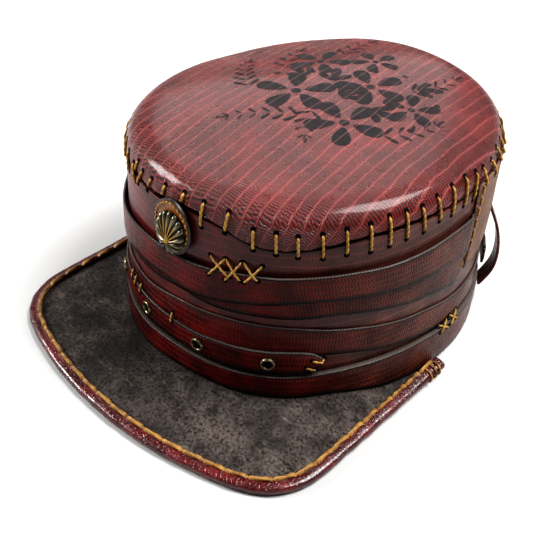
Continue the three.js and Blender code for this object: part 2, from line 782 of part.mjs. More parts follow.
// Concho: a domed oval shell whose rays spread from a hub below its middle.
function conchoSolid() {
  const rims = conchoRays * 2;
  const rings = [0.35, 0.7, 1];
  const points = [];
  const hub = new THREE.Vector2(0, -conchoHubDrop);
  const rimAt = (i) => {
    const turn = 2 * Math.PI * i / rims;
    return new THREE.Vector2(conchoHalfWidth * Math.sin(turn), conchoHalfHeight * Math.cos(turn));
  };
  points.push(new THREE.Vector3(hub.x, hub.y, conchoRim + conchoRise));
  for (const ring of rings) {
    for (let i = 0; i < rims; i += 1) {
      const flat = hub.clone().lerp(rimAt(i), ring);
      const ridge = i % 2 === 0 ? conchoRayDepth : 0;
      const height = conchoRim + (conchoRise - conchoRim) * (1 - ring * ring) + ridge * (1.2 - ring);
      points.push(new THREE.Vector3(flat.x, flat.y, height));
    }
  }
  for (let i = 0; i < rims; i += 1) {
    const flat = rimAt(i);
    points.push(new THREE.Vector3(flat.x, flat.y, 0));
  }
  const back = points.length;
  points.push(new THREE.Vector3(hub.x, hub.y, 0));
  const triangles = [];
  const layers = rings.length + 1;
  for (let i = 0; i < rims; i += 1) {
    const k = (i + 1) % rims;
    triangles.push([0, 1 + k, 1 + i]);
    for (let layer = 0; layer < layers - 1; layer += 1) {
      const near = 1 + layer * rims;
      const far = near + rims;
      triangles.push([near + i, near + k, far + k], [near + i, far + k, far + i]);
    }
    const last = 1 + (layers - 1) * rims;
    triangles.push([back, last + i, last + k]);
  }
  return solid(points, triangles);
}

function conchoFrame() {
  const middle = crownHeight - conchoBelowTop;
  const highest = patchOffset(middle - conchoHalfHeight);
  return wallFrame(conchoDeg, highest + patchLeather + fitGap, middle);
}

// Keeper: a strap that runs up the wall, bulges over the long strap and lies on the panel.
function keeperSolid() {
  const seat = innerLayer + panelLeather + fitGap;
  const perDegree = ovalPoint(keeperDeg - 0.5, seat, 0).distanceTo(ovalPoint(keeperDeg + 0.5, seat, 0));
  const half = keeperWidth / 2 / perDegree;
  const loops = keeperRows.map((row) => {
    const z = crownHeight * row.up;
    const face = seat + keeperBulge * row.out;
    const middle = keeperDeg - keeperSlantDeg * row.ahead;
    return [
      ovalPoint(middle - half, face, z),
      ovalPoint(middle + half, face, z),
      ovalPoint(middle + half, face + keeperLeather, z),
      ovalPoint(middle - half, face + keeperLeather, z),
    ];
  });
  return loft(loops, false);
}

function finish(color, roughness, metalness = 0) {
  return new THREE.MeshStandardMaterial({ color, roughness, metalness });
}

const redLizard = finish('#7a1c1c', 0.32);
const darkStrap = finish('#4a1512', 0.38);
const tanLeather = finish('#8a6550', 0.6);
const suede = finish('#3f3a38', 0.92);
const redBinding = finish('#5a1820', 0.35);
const brass = finish('#8a7448', 0.4, 1);
const patchTan = finish('#7a3d18', 0.45);
const agedSilver = finish('#8a8674', 0.35, 1);

const cap = new THREE.Group();
const leaning = new THREE.Group();
cap.add(leaning);

function place(name, geometry, material, frame = new THREE.Matrix4()) {
  const mesh = new THREE.Mesh(geometry, material);
  mesh.name = name;
  mesh.applyMatrix4(frame);
  leaning.add(mesh);
  return mesh;
}

place('crown_wall', crownWallSolid(), redLizard);
place('crown_top', crownTopSolid(), redLizard);

const openBand = bearings(panelToDeg + panelSlitDeg, 360 + panelFromDeg - panelSlitDeg);
place('upper_band',
  strap(tableEdges(upperBandRows), openBand, outerLayer, outerBandLeather, false), darkStrap);
place('second_band',
  strap(tableEdges(secondBandRows), openBand, innerLayer, innerBandLeather, false), darkStrap);
place('middle_band',
  strap(tableEdges(middleBandRows), fullTurn(), innerLayer, innerBandLeather, true), darkStrap);
place('eyelet_strap', eyeletStrapSolid(), darkStrap);
const lowestBand = place('lower_band',
  strap(lowerBandEdges, fullTurn(), innerLayer, lowerBandLeather, true), darkStrap);

const panelBearings = bearings(panelFromDeg, panelToDeg);
place('rear_panel',
  strap(tableEdges(panelRows), panelBearings, innerLayer, panelLeather, false), tanLeather);
place('keeper_strap', keeperSolid(), darkStrap);

const board = place('peak', peakSolid(), suede);
const binding = place('peak_binding', peakBindingSolid(), redBinding);

eyeletBearings().forEach((deg, i) => {
  place(`eyelet_${i + 1}`, eyeletSolid(), brass, eyeletFrame(deg));
});

place('concho_patch', patchSolid(), patchTan);
place('concho', conchoSolid(), agedSilver, conchoFrame());

// Lean of the cap: the steepest line from the back of the lowest band down to the peak.
function restingLean() {
  const back = new THREE.Box3().setFromObject(lowestBand).max.y;
  const foot = footHeight(90);
  let lean = 0;
  for (const piece of [board, binding]) {
    const position = piece.geometry.getAttribute('position');
    for (let i = 0; i < position.count; i += 1) {
      lean = Math.max(lean, Math.atan2(foot - position.getZ(i), back - position.getY(i)));
    }
  }
  return lean;
}

leaning.rotation.x = -restingLean();
cap.updateMatrixWorld(true);
const bounds = new THREE.Box3().setFromObject(cap, true);
const middle = bounds.getCenter(new THREE.Vector3());
leaning.position.set(-middle.x, -middle.y, -bounds.min.z);

export default cap;
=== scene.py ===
"""Visual model of a leather kepi cap: embossed crown, wrapped straps, bound suede peak.

Lengths are metres. A place on the crown is given by its bearing in degrees (0 the wearer's
left, 90 the rear, 270 the front), its distance out of the crown's side and its height above
the crown's foot line.
"""

import json
import math

import bmesh
import bpy
import numpy as np
from bpy.props import FloatProperty, FloatVectorProperty, IntProperty, PointerProperty
from mathutils import Matrix, Vector, noise
from mathutils.bvhtree import BVHTree


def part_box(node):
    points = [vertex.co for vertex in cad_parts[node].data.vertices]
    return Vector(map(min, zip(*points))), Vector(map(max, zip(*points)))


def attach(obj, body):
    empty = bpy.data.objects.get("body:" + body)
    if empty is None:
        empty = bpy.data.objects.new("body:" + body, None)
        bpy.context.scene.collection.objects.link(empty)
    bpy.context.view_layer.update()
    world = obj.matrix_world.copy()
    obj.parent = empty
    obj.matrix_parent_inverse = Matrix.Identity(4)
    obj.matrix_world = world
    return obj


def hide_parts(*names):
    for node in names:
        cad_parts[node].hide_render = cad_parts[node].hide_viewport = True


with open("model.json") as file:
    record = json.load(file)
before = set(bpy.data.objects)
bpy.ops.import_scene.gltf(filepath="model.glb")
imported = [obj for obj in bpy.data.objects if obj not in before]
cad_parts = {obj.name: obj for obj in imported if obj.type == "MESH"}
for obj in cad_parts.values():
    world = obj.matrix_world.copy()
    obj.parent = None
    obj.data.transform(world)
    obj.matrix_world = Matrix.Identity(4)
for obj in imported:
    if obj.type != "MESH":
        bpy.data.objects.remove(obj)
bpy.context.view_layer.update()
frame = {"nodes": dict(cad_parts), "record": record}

bl_info = {
    "name": "Leather kepi cap",
    "version": (1, 0, 0),
    "blender": (4, 5, 0),
    "location": "View3D > Sidebar > Kepi",
    "description": "Builds a leather kepi cap with wrapped straps, stitches and a bound peak",
    "category": "Add Mesh",
}

MM = 0.001
# Mean radius of the crown, which turns bearings into lengths round it.
CROWN_RADIUS = 94 * MM
# Where searches for a surface start: outside the crown's side, and over the cap.
BESIDE = 50 * MM
ABOVE = 300 * MM
# Points nearer to each other than this are one.
SAME_PLACE = 0.001 * MM


# Settings of the cap, all in its own sizes.


def length(name, text, value):
    return FloatProperty(name=name, description=text, default=value * MM, unit="LENGTH", precision=5)


def angle(name, text, degrees):
    return FloatProperty(name=name, description=text, default=math.radians(degrees), subtype="ANGLE")


def power(name, text, watts):
    return FloatProperty(name=name, description=text, default=watts, unit="POWER")


def number(name, text, value):
    return FloatProperty(name=name, description=text, default=value)


class KepiCrown(bpy.types.PropertyGroup):
    half_width: length("Half width", "Half width of the crown at its foot", 88.6)
    half_length: length("Half length", "Half length of the crown at its foot", 99.2)
    squareness: number("Squareness", "Exponent of the oval", 2.17)
    height: length("Height", "Height of the side above the foot line", 112)
    flare: length("Flare", "How far the side leans out at the top", 1.2)
    foot_rear: length("Foot rear", "Distance of the rear foot from the crown's axis", 100.814)
    shoulder: length("Shoulder", "Height of the top piece's rounded shoulder", 8)
    foot_drop: length("Foot drop", "How far the rear foot hangs below the foot line", 8)
    dent_depth: length("Dent depth", "How deep each stitch pulls the skirt in", 0.7)
    dent_radius: length("Dent radius", "Reach of a stitch's dent", 3.2)


class KepiStraps(bpy.types.PropertyGroup):
    stations: IntProperty(name="Stations", description="Sections round a full turn", default=300)
    corner: length("Corner", "Radius of a strap's long edges", 0.42)
    inner_leather: length("Inner leather", "Thickness of the inner straps", 1)
    outer_leather: length("Outer leather", "Thickness of the outer straps", 1.2)
    foot_leather: length("Foot leather", "Thickness of the lowest band", 2.8)
    panel_leather: length("Panel leather", "Thickness of the rear panel", 1.4)
    pillow: length("Pillow", "How far a strap's middle swells out", 0.22)
    wave: length("Wave", "Unevenness of the straps", 0.22)


class KepiThread(bpy.types.PropertyGroup):
    diameter: length("Diameter", "Diameter of the waxed thread", 1.45)
    heavy: length("Heavy diameter", "Diameter of the doubled thread on the binding", 2.5)
    cross: length("Cross diameter", "Diameter of the thread of the crossed stitches", 1.15)
    fine: length("Fine diameter", "Diameter of the thread on the patch", 0.9)
    lay: length("Lay", "Length of one turn of the thread's strands", 9)
    heavy_lay: length("Heavy lay", "Length of one turn of the doubled thread on the binding", 38)
    hole: length("Hole", "Radius of a stitch hole", 1.45)
    patch_count: IntProperty(name="Patch stitches", description="Stitches round the patch", default=26)
    whip_pitch: angle("Whip pitch", "Bearing between two whip stitches on the hidden sides", 6)
    binding_stitch: length("Binding stitch", "Length of a stitch on the binding", 10.5)
    binding_gap: length("Binding gap", "Gap between two stitches on the binding", 1.4)
    binding_inset: length("Binding inset", "Distance of the binding's stitches from its outer edge", 5.6)
    wrap_half_width: length("Wrap half width", "Half width of the turns of thread at the binding's end", 4.1)
    wrap_half_height: length("Wrap half height", "Half height of those turns", 3.1)
    wrap_lean: length("Wrap lean", "How far each of those turns leans along the binding", 1.6)
    wrap_inset: length("Wrap inset", "Distance of the turns' middle outside the row of stitches", 2.2)
    wrap_depth: length("Wrap depth", "Depth of the turns' middle under the binding's face", 2.6)


class KepiMetal(bpy.types.PropertyGroup):
    eyelet_radius: length("Eyelet radius", "Outer radius of an eyelet", 3.8)
    eyelet_bore: length("Eyelet bore", "Radius of an eyelet's bore", 2.4)
    eyelet_rise: length("Eyelet rise", "Height of an eyelet's rolled flange", 0.95)
    concho_lobes: IntProperty(name="Lobes", description="Scallops round the concho", default=16)
    concho_half_width: length("Concho half width", "Half width of the concho", 9)
    concho_half_height: length("Concho half height", "Half height of the concho", 12)
    concho_rise: length("Concho rise", "Height of the concho's middle", 3.9)
    ray_depth: length("Ray depth", "Depth of the hollows between the concho's rays", 0.9)
    hub_share: number("Hub", "Reach of the concho's hub as a share of the concho's", 0.14)
    hub_drop: number("Hub drop", "How far the hub sits below the middle, as a share of the half height", 0.32)


class KepiStage(bpy.types.PropertyGroup):
    azimuth: angle("Azimuth", "Bearing of the camera from the front", 41.868)
    elevation: angle("Elevation", "Elevation of the camera", 38.582)
    roll: angle("Roll", "Roll of the camera", 3.123)
    distance: length("Distance", "Camera distance", 596.7)
    shift_right: length("Shift right", "Camera shift along its own right", -21.9)
    shift_up: length("Shift up", "Camera shift upwards", 4.708)
    lens: number("Lens", "Focal length in millimetres on a 36 mm sensor", 70)
    key: power("Key light", "Power of the key softbox", 30)
    rear: power("Rear light", "Power of the rear softbox", 5)
    fill: power("Fill light", "Power of the fill softbox", 20)
    sky: number("Sky", "Strength of the surrounding light", 0.14)
    floor: FloatVectorProperty(
        name="Floor", description="Colour of the floor", default=(0.5, 0.5, 0.495), subtype="COLOR"
    )


class KepiSettings(bpy.types.PropertyGroup):
    crown: PointerProperty(type=KepiCrown)
    straps: PointerProperty(type=KepiStraps)
    thread: PointerProperty(type=KepiThread)
    metal: PointerProperty(type=KepiMetal)
    stage: PointerProperty(type=KepiStage)


# Places on the crown and searches for its surface.


def crown_frame(crown):
    """Rotation and position that take the crown's own frame to the row frame."""
    mount = frame["record"]["mounts"][0]
    lean = math.atan2(mount["axis"][1], -mount["axis"][2])
    turn = Matrix.Rotation(lean, 3, "X")
    foot = turn @ Vector((0, crown.foot_rear, -crown.foot_drop))
    return turn, Vector(mount["pos_m"]) - foot


def cap_point(crown, deg, out, up):
    """Row-frame place of a bearing, a distance out of the side and a height."""
    turn, origin = crown_frame(crown)
    grow = out + crown.flare * up / crown.height
    c, s = math.cos(math.radians(deg)), math.sin(math.radians(deg))
    reach = (abs(c) ** crown.squareness + abs(s) ** crown.squareness) ** (-1 / crown.squareness)
    x = (crown.half_width + grow) * reach * c
    y = (crown.half_length + grow) * reach * s
    return turn @ Vector((x, y, up)) + origin


def cap_coordinates(crown, points):
    """Bearing, distance out and height of row-frame points, as three arrays."""
    turn, origin = crown_frame(crown)
    local = (np.asarray(points) - np.array(origin)) @ np.array(turn)
    x, y, up = local.T
    grow = np.zeros(len(x))
    n = crown.squareness
    for _ in range(14):
        a, b = crown.half_width + grow, crown.half_length + grow
        u, v = (np.abs(x) / a) ** n, (np.abs(y) / b) ** n
        grow = np.maximum(grow + (u + v - 1) / (n * (u / a + v / b) + 1e-9), -0.08)
    deg = np.degrees(np.arctan2(y / (crown.half_length + grow), x / (crown.half_width + grow))) % 360
    return deg, grow - crown.flare * up / crown.height, up


def local_points(crown, points):
    turn, origin = crown_frame(crown)
    return (np.asarray(points) - np.array(origin)) @ np.array(turn)


def tree_of(objects):
    """One search tree over several objects' meshes."""
    corners, faces = [], []
    for obj in objects:
        start = len(corners)
        corners.extend(v.co.copy() for v in obj.data.vertices)
        faces.extend([start + i for i in p.vertices] for p in obj.data.polygons)
    return BVHTree.FromPolygons(corners, faces)


def tree_of_looks(*nodes):
    """The same over the finished pieces that stand for these solids."""
    return tree_of([bpy.data.objects[node + "_look"] for node in nodes])


def side_hit(tree, crown, deg, up):
    """Outermost place of the tree's surface at a bearing and height, and its normal."""
    far = cap_point(crown, deg, BESIDE, up)
    inward = (cap_point(crown, deg, -BESIDE, up) - far).normalized()
    place, normal, _, _ = tree.ray_cast(far, inward, 1.6 * BESIDE)
    return (place, normal) if place else (None, None)


def top_hit(tree, x, y):
    """Uppermost place of the tree's surface over a spot of the floor, and its normal."""
    place, normal, _, _ = tree.ray_cast(Vector((x, y, ABOVE)), Vector((0, 0, -1)))
    return place, normal


def border(inside, outside, hit, steps):
    """Last value, from 'inside' towards 'outside', at which the surface is still hit."""
    for _ in range(steps):
        middle = (inside + outside) / 2
        if hit(middle):
            inside = middle
        else:
            outside = middle
    return inside


# Meshes and what they carry for the materials.


def piece(name, mesh, material, nodes=()):
    """Puts a finished mesh into the scene as a piece that may stand for solids of the frame."""
    obj = bpy.data.objects.new(name, mesh)
    bpy.context.scene.collection.objects.link(obj)
    mesh.materials.clear()
    mesh.materials.append(material)
    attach(obj, "root")
    if nodes:
        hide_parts(*nodes)
    return obj


def look(node, mesh, material):
    """The finished piece that stands for one solid."""
    return piece(node + "_look", mesh, material_of(material), [node])


def closed_mesh(name, points, faces, values=None, merge=False):
    """Smooth mesh that faces outward, with a value per point under each name in 'values'."""
    mesh = bpy.data.meshes.new(name)
    mesh.from_pydata([tuple(p) for p in points], [], faces)
    for label, numbers in (values or {}).items():
        write_value(mesh, label, numbers)
    work = bmesh.new()
    work.from_mesh(mesh)
    if merge:
        bmesh.ops.remove_doubles(work, verts=work.verts, dist=SAME_PLACE)
    bmesh.ops.recalc_face_normals(work, faces=work.faces)
    work.to_mesh(mesh)
    work.free()
    mesh.shade_smooth()
    return mesh


def loft_faces(stations, around, closed):
    """Quads between sections of equal length, with end caps where the loft is open."""
    faces = []
    for i in range(stations if closed else stations - 1):
        k = (i + 1) % stations
        for j in range(around):
            m = (j + 1) % around
            faces.append((i * around + j, k * around + j, k * around + m, i * around + m))
    if not closed:
        faces.append(tuple(range(around)))
        faces.append(tuple((stations - 1) * around + j for j in reversed(range(around))))
    return faces


def write_map(mesh, coordinates):
    """Stores one (u, v) per vertex as the map 'surface'."""
    layer = mesh.uv_layers.new(name="surface")
    corner = np.empty(len(mesh.loops), dtype=np.int32)
    mesh.loops.foreach_get("vertex_index", corner)
    layer.data.foreach_set("uv", np.asarray(coordinates, float)[corner].ravel())


def write_ring_map(mesh, along, across, total):
    """The same for a ring: a face that crosses the start gets its map unrolled past the end."""
    layer = mesh.uv_layers.new(name="surface")
    values = np.empty((len(mesh.loops), 2))
    for face in mesh.polygons:
        us = [along[i] for i in face.vertices]
        wraps = max(us) - min(us) > total / 2
        for k, i in enumerate(face.vertices):
            u = along[i] + (total if wraps and along[i] < total / 2 else 0)
            values[face.loop_start + k] = (u, across[i])
    layer.data.foreach_set("uv", values.ravel())


def write_value(mesh, name, values):
    layer = mesh.attributes.new(name, "FLOAT", "POINT")
    layer.data.foreach_set("value", np.asarray(values, float))


def evaluated(name, mesh, add_modifiers):
    """New mesh that modifiers make of a helper mesh, which is removed afterwards."""
    helper = bpy.data.objects.new(name + "_helper", mesh)
    bpy.context.scene.collection.objects.link(helper)
    add_modifiers(helper.modifiers)
    bpy.context.view_layer.update()
    shown = helper.evaluated_get(bpy.context.evaluated_depsgraph_get())
    result = bpy.data.meshes.new_from_object(shown)
    result.name = name
    bpy.data.objects.remove(helper)
    bpy.data.meshes.remove(mesh)
    return result


def dressed(node, levels, bevel):
    """Mesh of a solid, merged, its triangles joined, its edges rounded and subdivided."""
    work = bmesh.new()
    work.from_mesh(frame["nodes"][node].data)
    bmesh.ops.remove_doubles(work, verts=work.verts, dist=SAME_PLACE)
    bmesh.ops.join_triangles(
        work, faces=work.faces, angle_face_threshold=math.radians(25), angle_shape_threshold=math.radians(60)
    )
    mesh = bpy.data.meshes.new(node + "_work")
    work.to_mesh(mesh)
    work.free()

    def add_modifiers(modifiers):
        rounding = modifiers.new("rounding", "BEVEL")
        rounding.width = bevel
        rounding.segments = 2
        rounding.limit_method = "ANGLE"
        rounding.angle_limit = math.radians(50)
        refine = modifiers.new("refine", "SUBSURF")
        refine.levels = levels
        refine.render_levels = levels

    result = evaluated(node + "_look", mesh, add_modifiers)
    result.shade_smooth()
    return result


def vertices_of(mesh):
    co = np.empty(len(mesh.vertices) * 3)
    mesh.vertices.foreach_get("co", co)
    return co.reshape(-1, 3)


def move_vertices(mesh, co):
    mesh.vertices.foreach_set("co", co.ravel())
    mesh.update()


def normals_of(mesh):
    return np.array([tuple(v.normal) for v in mesh.vertices])


# Leathers, metals, threads and ink.


def colour(code):
    """Linear colour of an sRGB hex code."""
    parts = [int(code[i : i + 2], 16) / 255 for i in (0, 2, 4)]
    return tuple(p / 12.92 if p <= 0.04045 else ((p + 0.055) / 1.055) ** 2.4 for p in parts) + (1.0,)


def add(tree, kind, inputs=None, **settings):
    """A shader node with its settings, constants and links."""
    node = tree.nodes.new(kind)
    for key, value in settings.items():
        setattr(node, key, value)
    for key, value in (inputs or {}).items():
        if isinstance(value, bpy.types.NodeSocket):
            tree.links.new(value, node.inputs[key])
        else:
            node.inputs[key].default_value = value
    return node


def calc(tree, operation, a, b=0.0, c=0.0):
    return add(tree, "ShaderNodeMath", {0: a, 1: b, 2: c}, operation=operation).outputs[0]


def attribute(tree, name):
    return add(tree, "ShaderNodeAttribute", attribute_name=name).outputs["Fac"]


def spread(tree, value, low, high, to_low=0.0, to_high=1.0):
    node = add(
        tree,
        "ShaderNodeMapRange",
        {"Value": value, "From Min": low, "From Max": high, "To Min": to_low, "To Max": to_high},
        interpolation_type="SMOOTHSTEP",
    )
    return node.outputs[0]


def blend(tree, factor, first, second):
    node = add(tree, "ShaderNodeMix", data_type="RGBA")
    for index, value in ((0, factor), (6, first), (7, second)):
        if isinstance(value, bpy.types.NodeSocket):
            tree.links.new(value, node.inputs[index])
        else:
            node.inputs[index].default_value = value
    return node.outputs[2]


def map_place(tree, stretch=(1, 1, 1), turn=0.0, wobble=0.0, wobble_size=0.02, objectwise=False):
    """The 'surface' map (or object place) in metres, turned, distorted and stretched."""
    if objectwise:
        source = add(tree, "ShaderNodeTexCoord").outputs["Object"]
    else:
        source = add(tree, "ShaderNodeUVMap", uv_map="surface").outputs[0]
    if wobble:
        waves = add(tree, "ShaderNodeTexNoise", {"Vector": source, "Scale": 1 / wobble_size, "Detail": 2.0})
        shifted = add(
            tree,
            "ShaderNodeVectorMath",
            {0: waves.outputs["Color"], 1: (0.5, 0.5, 0.5)},
            operation="SUBTRACT",
        ).outputs[0]
        amount = (wobble, wobble, wobble)
        source = add(
            tree,
            "ShaderNodeVectorMath",
            {0: shifted, 1: amount, 2: source},
            operation="MULTIPLY_ADD",
        ).outputs[0]
    return add(
        tree,
        "ShaderNodeMapping",
        {"Vector": source, "Rotation": (0, 0, math.radians(turn)), "Scale": stretch},
    ).outputs[0]


def noise_of(tree, place, size, detail=3.0, roughness=0.55):
    return add(
        tree,
        "ShaderNodeTexNoise",
        {"Vector": place, "Scale": 1 / size, "Detail": detail, "Roughness": roughness},
    ).outputs["Fac"]


def cells(tree, place, randomness):
    """Distance from the nearest cell border, 0 in the grooves."""
    return add(
        tree,
        "ShaderNodeTexVoronoi",
        {"Vector": place, "Scale": 1.0, "Randomness": randomness},
        feature="DISTANCE_TO_EDGE",
    ).outputs["Distance"]


def start_material(name):
    material = bpy.data.materials.new(name)
    material.use_nodes = True
    tree = material.node_tree
    shader = tree.nodes["Principled BSDF"]
    return material, tree, shader


def uneven_gloss(tree, shader, place, size, polished, dull):
    """Roughness that wanders between a polished and a dull value in spots of the given size."""
    rough = spread(tree, noise_of(tree, place, size, 3.0), 0.3, 0.75, polished, dull)
    tree.links.new(rough, shader.inputs["Roughness"])


def set_bump(tree, shader, layers):
    """Chains bump layers of (height, depth in metres, strength)."""
    normal = None
    for height, depth, strength in layers:
        inputs = {"Height": height, "Distance": depth, "Strength": strength}
        if normal:
            inputs["Normal"] = normal
        normal = add(tree, "ShaderNodeBump", inputs).outputs[0]
    tree.links.new(normal, shader.inputs["Normal"])


def ladder(tree, turn, ridge_pitch, groove_pitch, warp):
    """Emboss of lizard leather: thin long ridges with short grooves between them, both 0 to 1."""
    place = map_place(tree, turn=turn, wobble=warp, wobble_size=0.05)
    parts = add(tree, "ShaderNodeSeparateXYZ", {0: place})
    column = calc(tree, "DIVIDE", parts.outputs[0], ridge_pitch)
    aside = calc(tree, "ABSOLUTE", calc(tree, "SUBTRACT", calc(tree, "FRACT", column), 0.5))
    fine = noise_of(tree, place, 0.003, 2.0)
    ridges = spread(tree, calc(tree, "MULTIPLY_ADD", fine, 0.02, aside), 0.02, 0.06, 1.0, 0.0)
    column_noise = add(
        tree,
        "ShaderNodeTexWhiteNoise",
        {"W": calc(tree, "FLOOR", column)},
        noise_dimensions="1D",
    )
    slant = calc(tree, "MULTIPLY", aside, 0.35)
    step = calc(tree, "DIVIDE", parts.outputs[1], groove_pitch)
    step = calc(tree, "ADD", step, calc(tree, "MULTIPLY_ADD", column_noise.outputs["Value"], 7.0, slant))
    step = calc(tree, "MULTIPLY_ADD", noise_of(tree, place, 0.012, 2.0), 1.1, step)
    off = calc(tree, "ABSOLUTE", calc(tree, "SUBTRACT", calc(tree, "FRACT", step), 0.5))
    grooves = spread(tree, off, 0.1, 0.3, 1.0, 0.0)
    inside = spread(tree, aside, 0.08, 0.16)
    patchy = spread(tree, noise_of(tree, place, 0.02, 3.0), 0.3, 0.6, 0.6, 1.0)
    grooves = calc(tree, "MULTIPLY", calc(tree, "MULTIPLY", grooves, inside), patchy)
    return ridges, grooves


def lizard_pattern(tree):
    """The emboss of the crown's top, which the ink follows as well."""
    return ladder(tree, turn=-8.4, ridge_pitch=0.0064, groove_pitch=0.0015, warp=0.007)


def lizard_leather():
    # Glossy oxblood leather with a pressed lizard pattern, darker in its grooves; its ridges are paler,
    # partly as a painted highlight.
    material, tree, shader = start_material("oxblood_lizard_leather")
    ridges, grooves = lizard_pattern(tree)
    place = map_place(tree)
    patches = noise_of(tree, place, 0.03, 4.0)
    base = blend(tree, spread(tree, patches, 0.32, 0.7), colour("57110e"), colour("78201b"))
    # Pale ridges of the emboss, lightened partly as a painted highlight.
    base = blend(tree, calc(tree, "MULTIPLY", ridges, 0.36), base, colour("b97a70"))
    base = blend(tree, grooves, base, colour("250405"))
    tree.links.new(base, shader.inputs["Base Color"])
    uneven_gloss(tree, shader, place, 0.004, 0.24, 0.42)
    shader.inputs["Coat Weight"].default_value = 0.3
    shader.inputs["Coat Roughness"].default_value = 0.16
    set_bump(
        tree,
        shader,
        [
            (noise_of(tree, place, 0.009, 3.0), 0.0006, 0.4),
            (noise_of(tree, place, 0.0008, 4.0, 0.75), 0.0006, 0.85),
            (ridges, 0.0005, 0.8),
            (calc(tree, "SUBTRACT", 1.0, grooves), 0.0006, 0.9),
        ],
    )
    return material


def strap_leather():
    # Glossy dark oxblood strap leather with a fine pressed grid and dark burnished edges; burnish and painted
    # shade blacken it over its low edge, and a painted highlight greys its upper cut edge.
    material, tree, shader = start_material("oxblood_strap_leather")
    place = map_place(tree)
    ridges, grooves = ladder(tree, turn=88.0, ridge_pitch=0.0036, groove_pitch=0.0016, warp=0.005)
    brown = attribute(tree, "brown")
    patches = spread(tree, noise_of(tree, place, 0.02, 4.0), 0.32, 0.7)
    red = blend(tree, patches, colour("3c0404"), colour("6c0f0a"))
    tan = blend(tree, patches, colour("421d15"), colour("6c3c30"))
    base = blend(tree, brown, red, tan)
    base = blend(tree, calc(tree, "MULTIPLY", ridges, 0.3), base, colour("8c2e24"))
    base = blend(tree, calc(tree, "MULTIPLY", grooves, 0.8), base, colour("160304"))
    low = attribute(tree, "above_low")
    high = attribute(tree, "below_high")
    # Burnish and painted shade: black at the low edge, fading out about 4 mm above it.
    base = blend(tree, spread(tree, low, 0.0005, 0.0042), colour("0c0403"), base)
    base = blend(tree, spread(tree, high, 0.0003, 0.0012), colour("120a09"), base)
    # Painted highlight: the upper cut edge turned light grey.
    base = blend(tree, spread(tree, high, -0.0005, 0.0001), colour("5e5652"), base)
    tree.links.new(base, shader.inputs["Base Color"])
    uneven_gloss(tree, shader, place, 0.005, 0.24, 0.42)
    shader.inputs["Specular IOR Level"].default_value = 0.15
    shader.inputs["Coat Weight"].default_value = 0.1
    shader.inputs["Coat Roughness"].default_value = 0.14
    set_bump(
        tree,
        shader,
        [
            (noise_of(tree, place, 0.011, 3.0), 0.0007, 0.45),
            (noise_of(tree, place, 0.0009, 4.0, 0.7), 0.0002, 0.6),
            (ridges, 0.00035, 0.6),
            (calc(tree, "SUBTRACT", 1.0, grooves), 0.0004, 0.9),
        ],
    )
    return material


def wall_leather():
    # The crown's own side: the lizard leather seen between the straps, browner at the rear left, with painted
    # shade just below the skirt's edge.
    material, tree, shader = start_material("wall_leather_with_painted_shade")
    place = map_place(tree)
    ridges, grooves = ladder(tree, turn=88.0, ridge_pitch=0.0052, groove_pitch=0.0013, warp=0.006)
    brown = attribute(tree, "brown")
    patches = spread(tree, noise_of(tree, place, 0.02, 4.0), 0.32, 0.7)
    red = blend(tree, patches, colour("3c0706"), colour("64120e"))
    tan = blend(tree, patches, colour("48241c"), colour("6e4236"))
    base = blend(tree, brown, red, tan)
    base = blend(tree, calc(tree, "MULTIPLY", ridges, 0.3), base, colour("93463e"))
    base = blend(tree, calc(tree, "MULTIPLY", grooves, 0.7), base, colour("1c0604"))
    # Painted shade: the wall turns black within 4 mm below the skirt's edge.
    skirt = attribute(tree, "skirt")
    height = add(tree, "ShaderNodeSeparateXYZ", {0: place}).outputs[1]
    shade_under_skirt = spread(tree, calc(tree, "SUBTRACT", skirt, height), 0.0, 0.004, 0.92, 0.0)
    base = blend(tree, shade_under_skirt, base, colour("070405"))
    tree.links.new(base, shader.inputs["Base Color"])
    shader.inputs["Roughness"].default_value = 0.42
    shader.inputs["Specular IOR Level"].default_value = 0.35
    shader.inputs["Coat Weight"].default_value = 0.15
    shader.inputs["Coat Roughness"].default_value = 0.2
    set_bump(
        tree,
        shader,
        [
            (noise_of(tree, place, 0.01, 3.0), 0.0007, 0.5),
            (calc(tree, "SUBTRACT", 1.0, grooves), 0.0002, 0.7),
        ],
    )
    return material


def panel_leather():
    # Matt tan leather of the rear panel, with pores and dark rubbed patches.
    material, tree, shader = start_material("tan_panel_leather")
    place = map_place(tree)
    patches = spread(tree, noise_of(tree, place, 0.018, 5.0), 0.3, 0.72)
    base = blend(tree, patches, colour("6d4a3c"), colour("94705c"))
    pore_place = map_place(tree, (1 / 0.0011, 1 / 0.0011, 1), wobble=0.001, wobble_size=0.005)
    pores = spread(tree, cells(tree, pore_place, 0.9), 0.0, 0.15)
    base = blend(tree, pores, colour("4a2e24"), base)
    low = attribute(tree, "above_low")
    base = blend(tree, spread(tree, low, 0.0, 0.001), colour("1f1310"), base)
    tree.links.new(base, shader.inputs["Base Color"])
    shader.inputs["Roughness"].default_value = 0.6
    set_bump(tree, shader, [(noise_of(tree, place, 0.009, 3.0), 0.0008, 0.5), (pores, 0.00015, 0.6)])
    return material


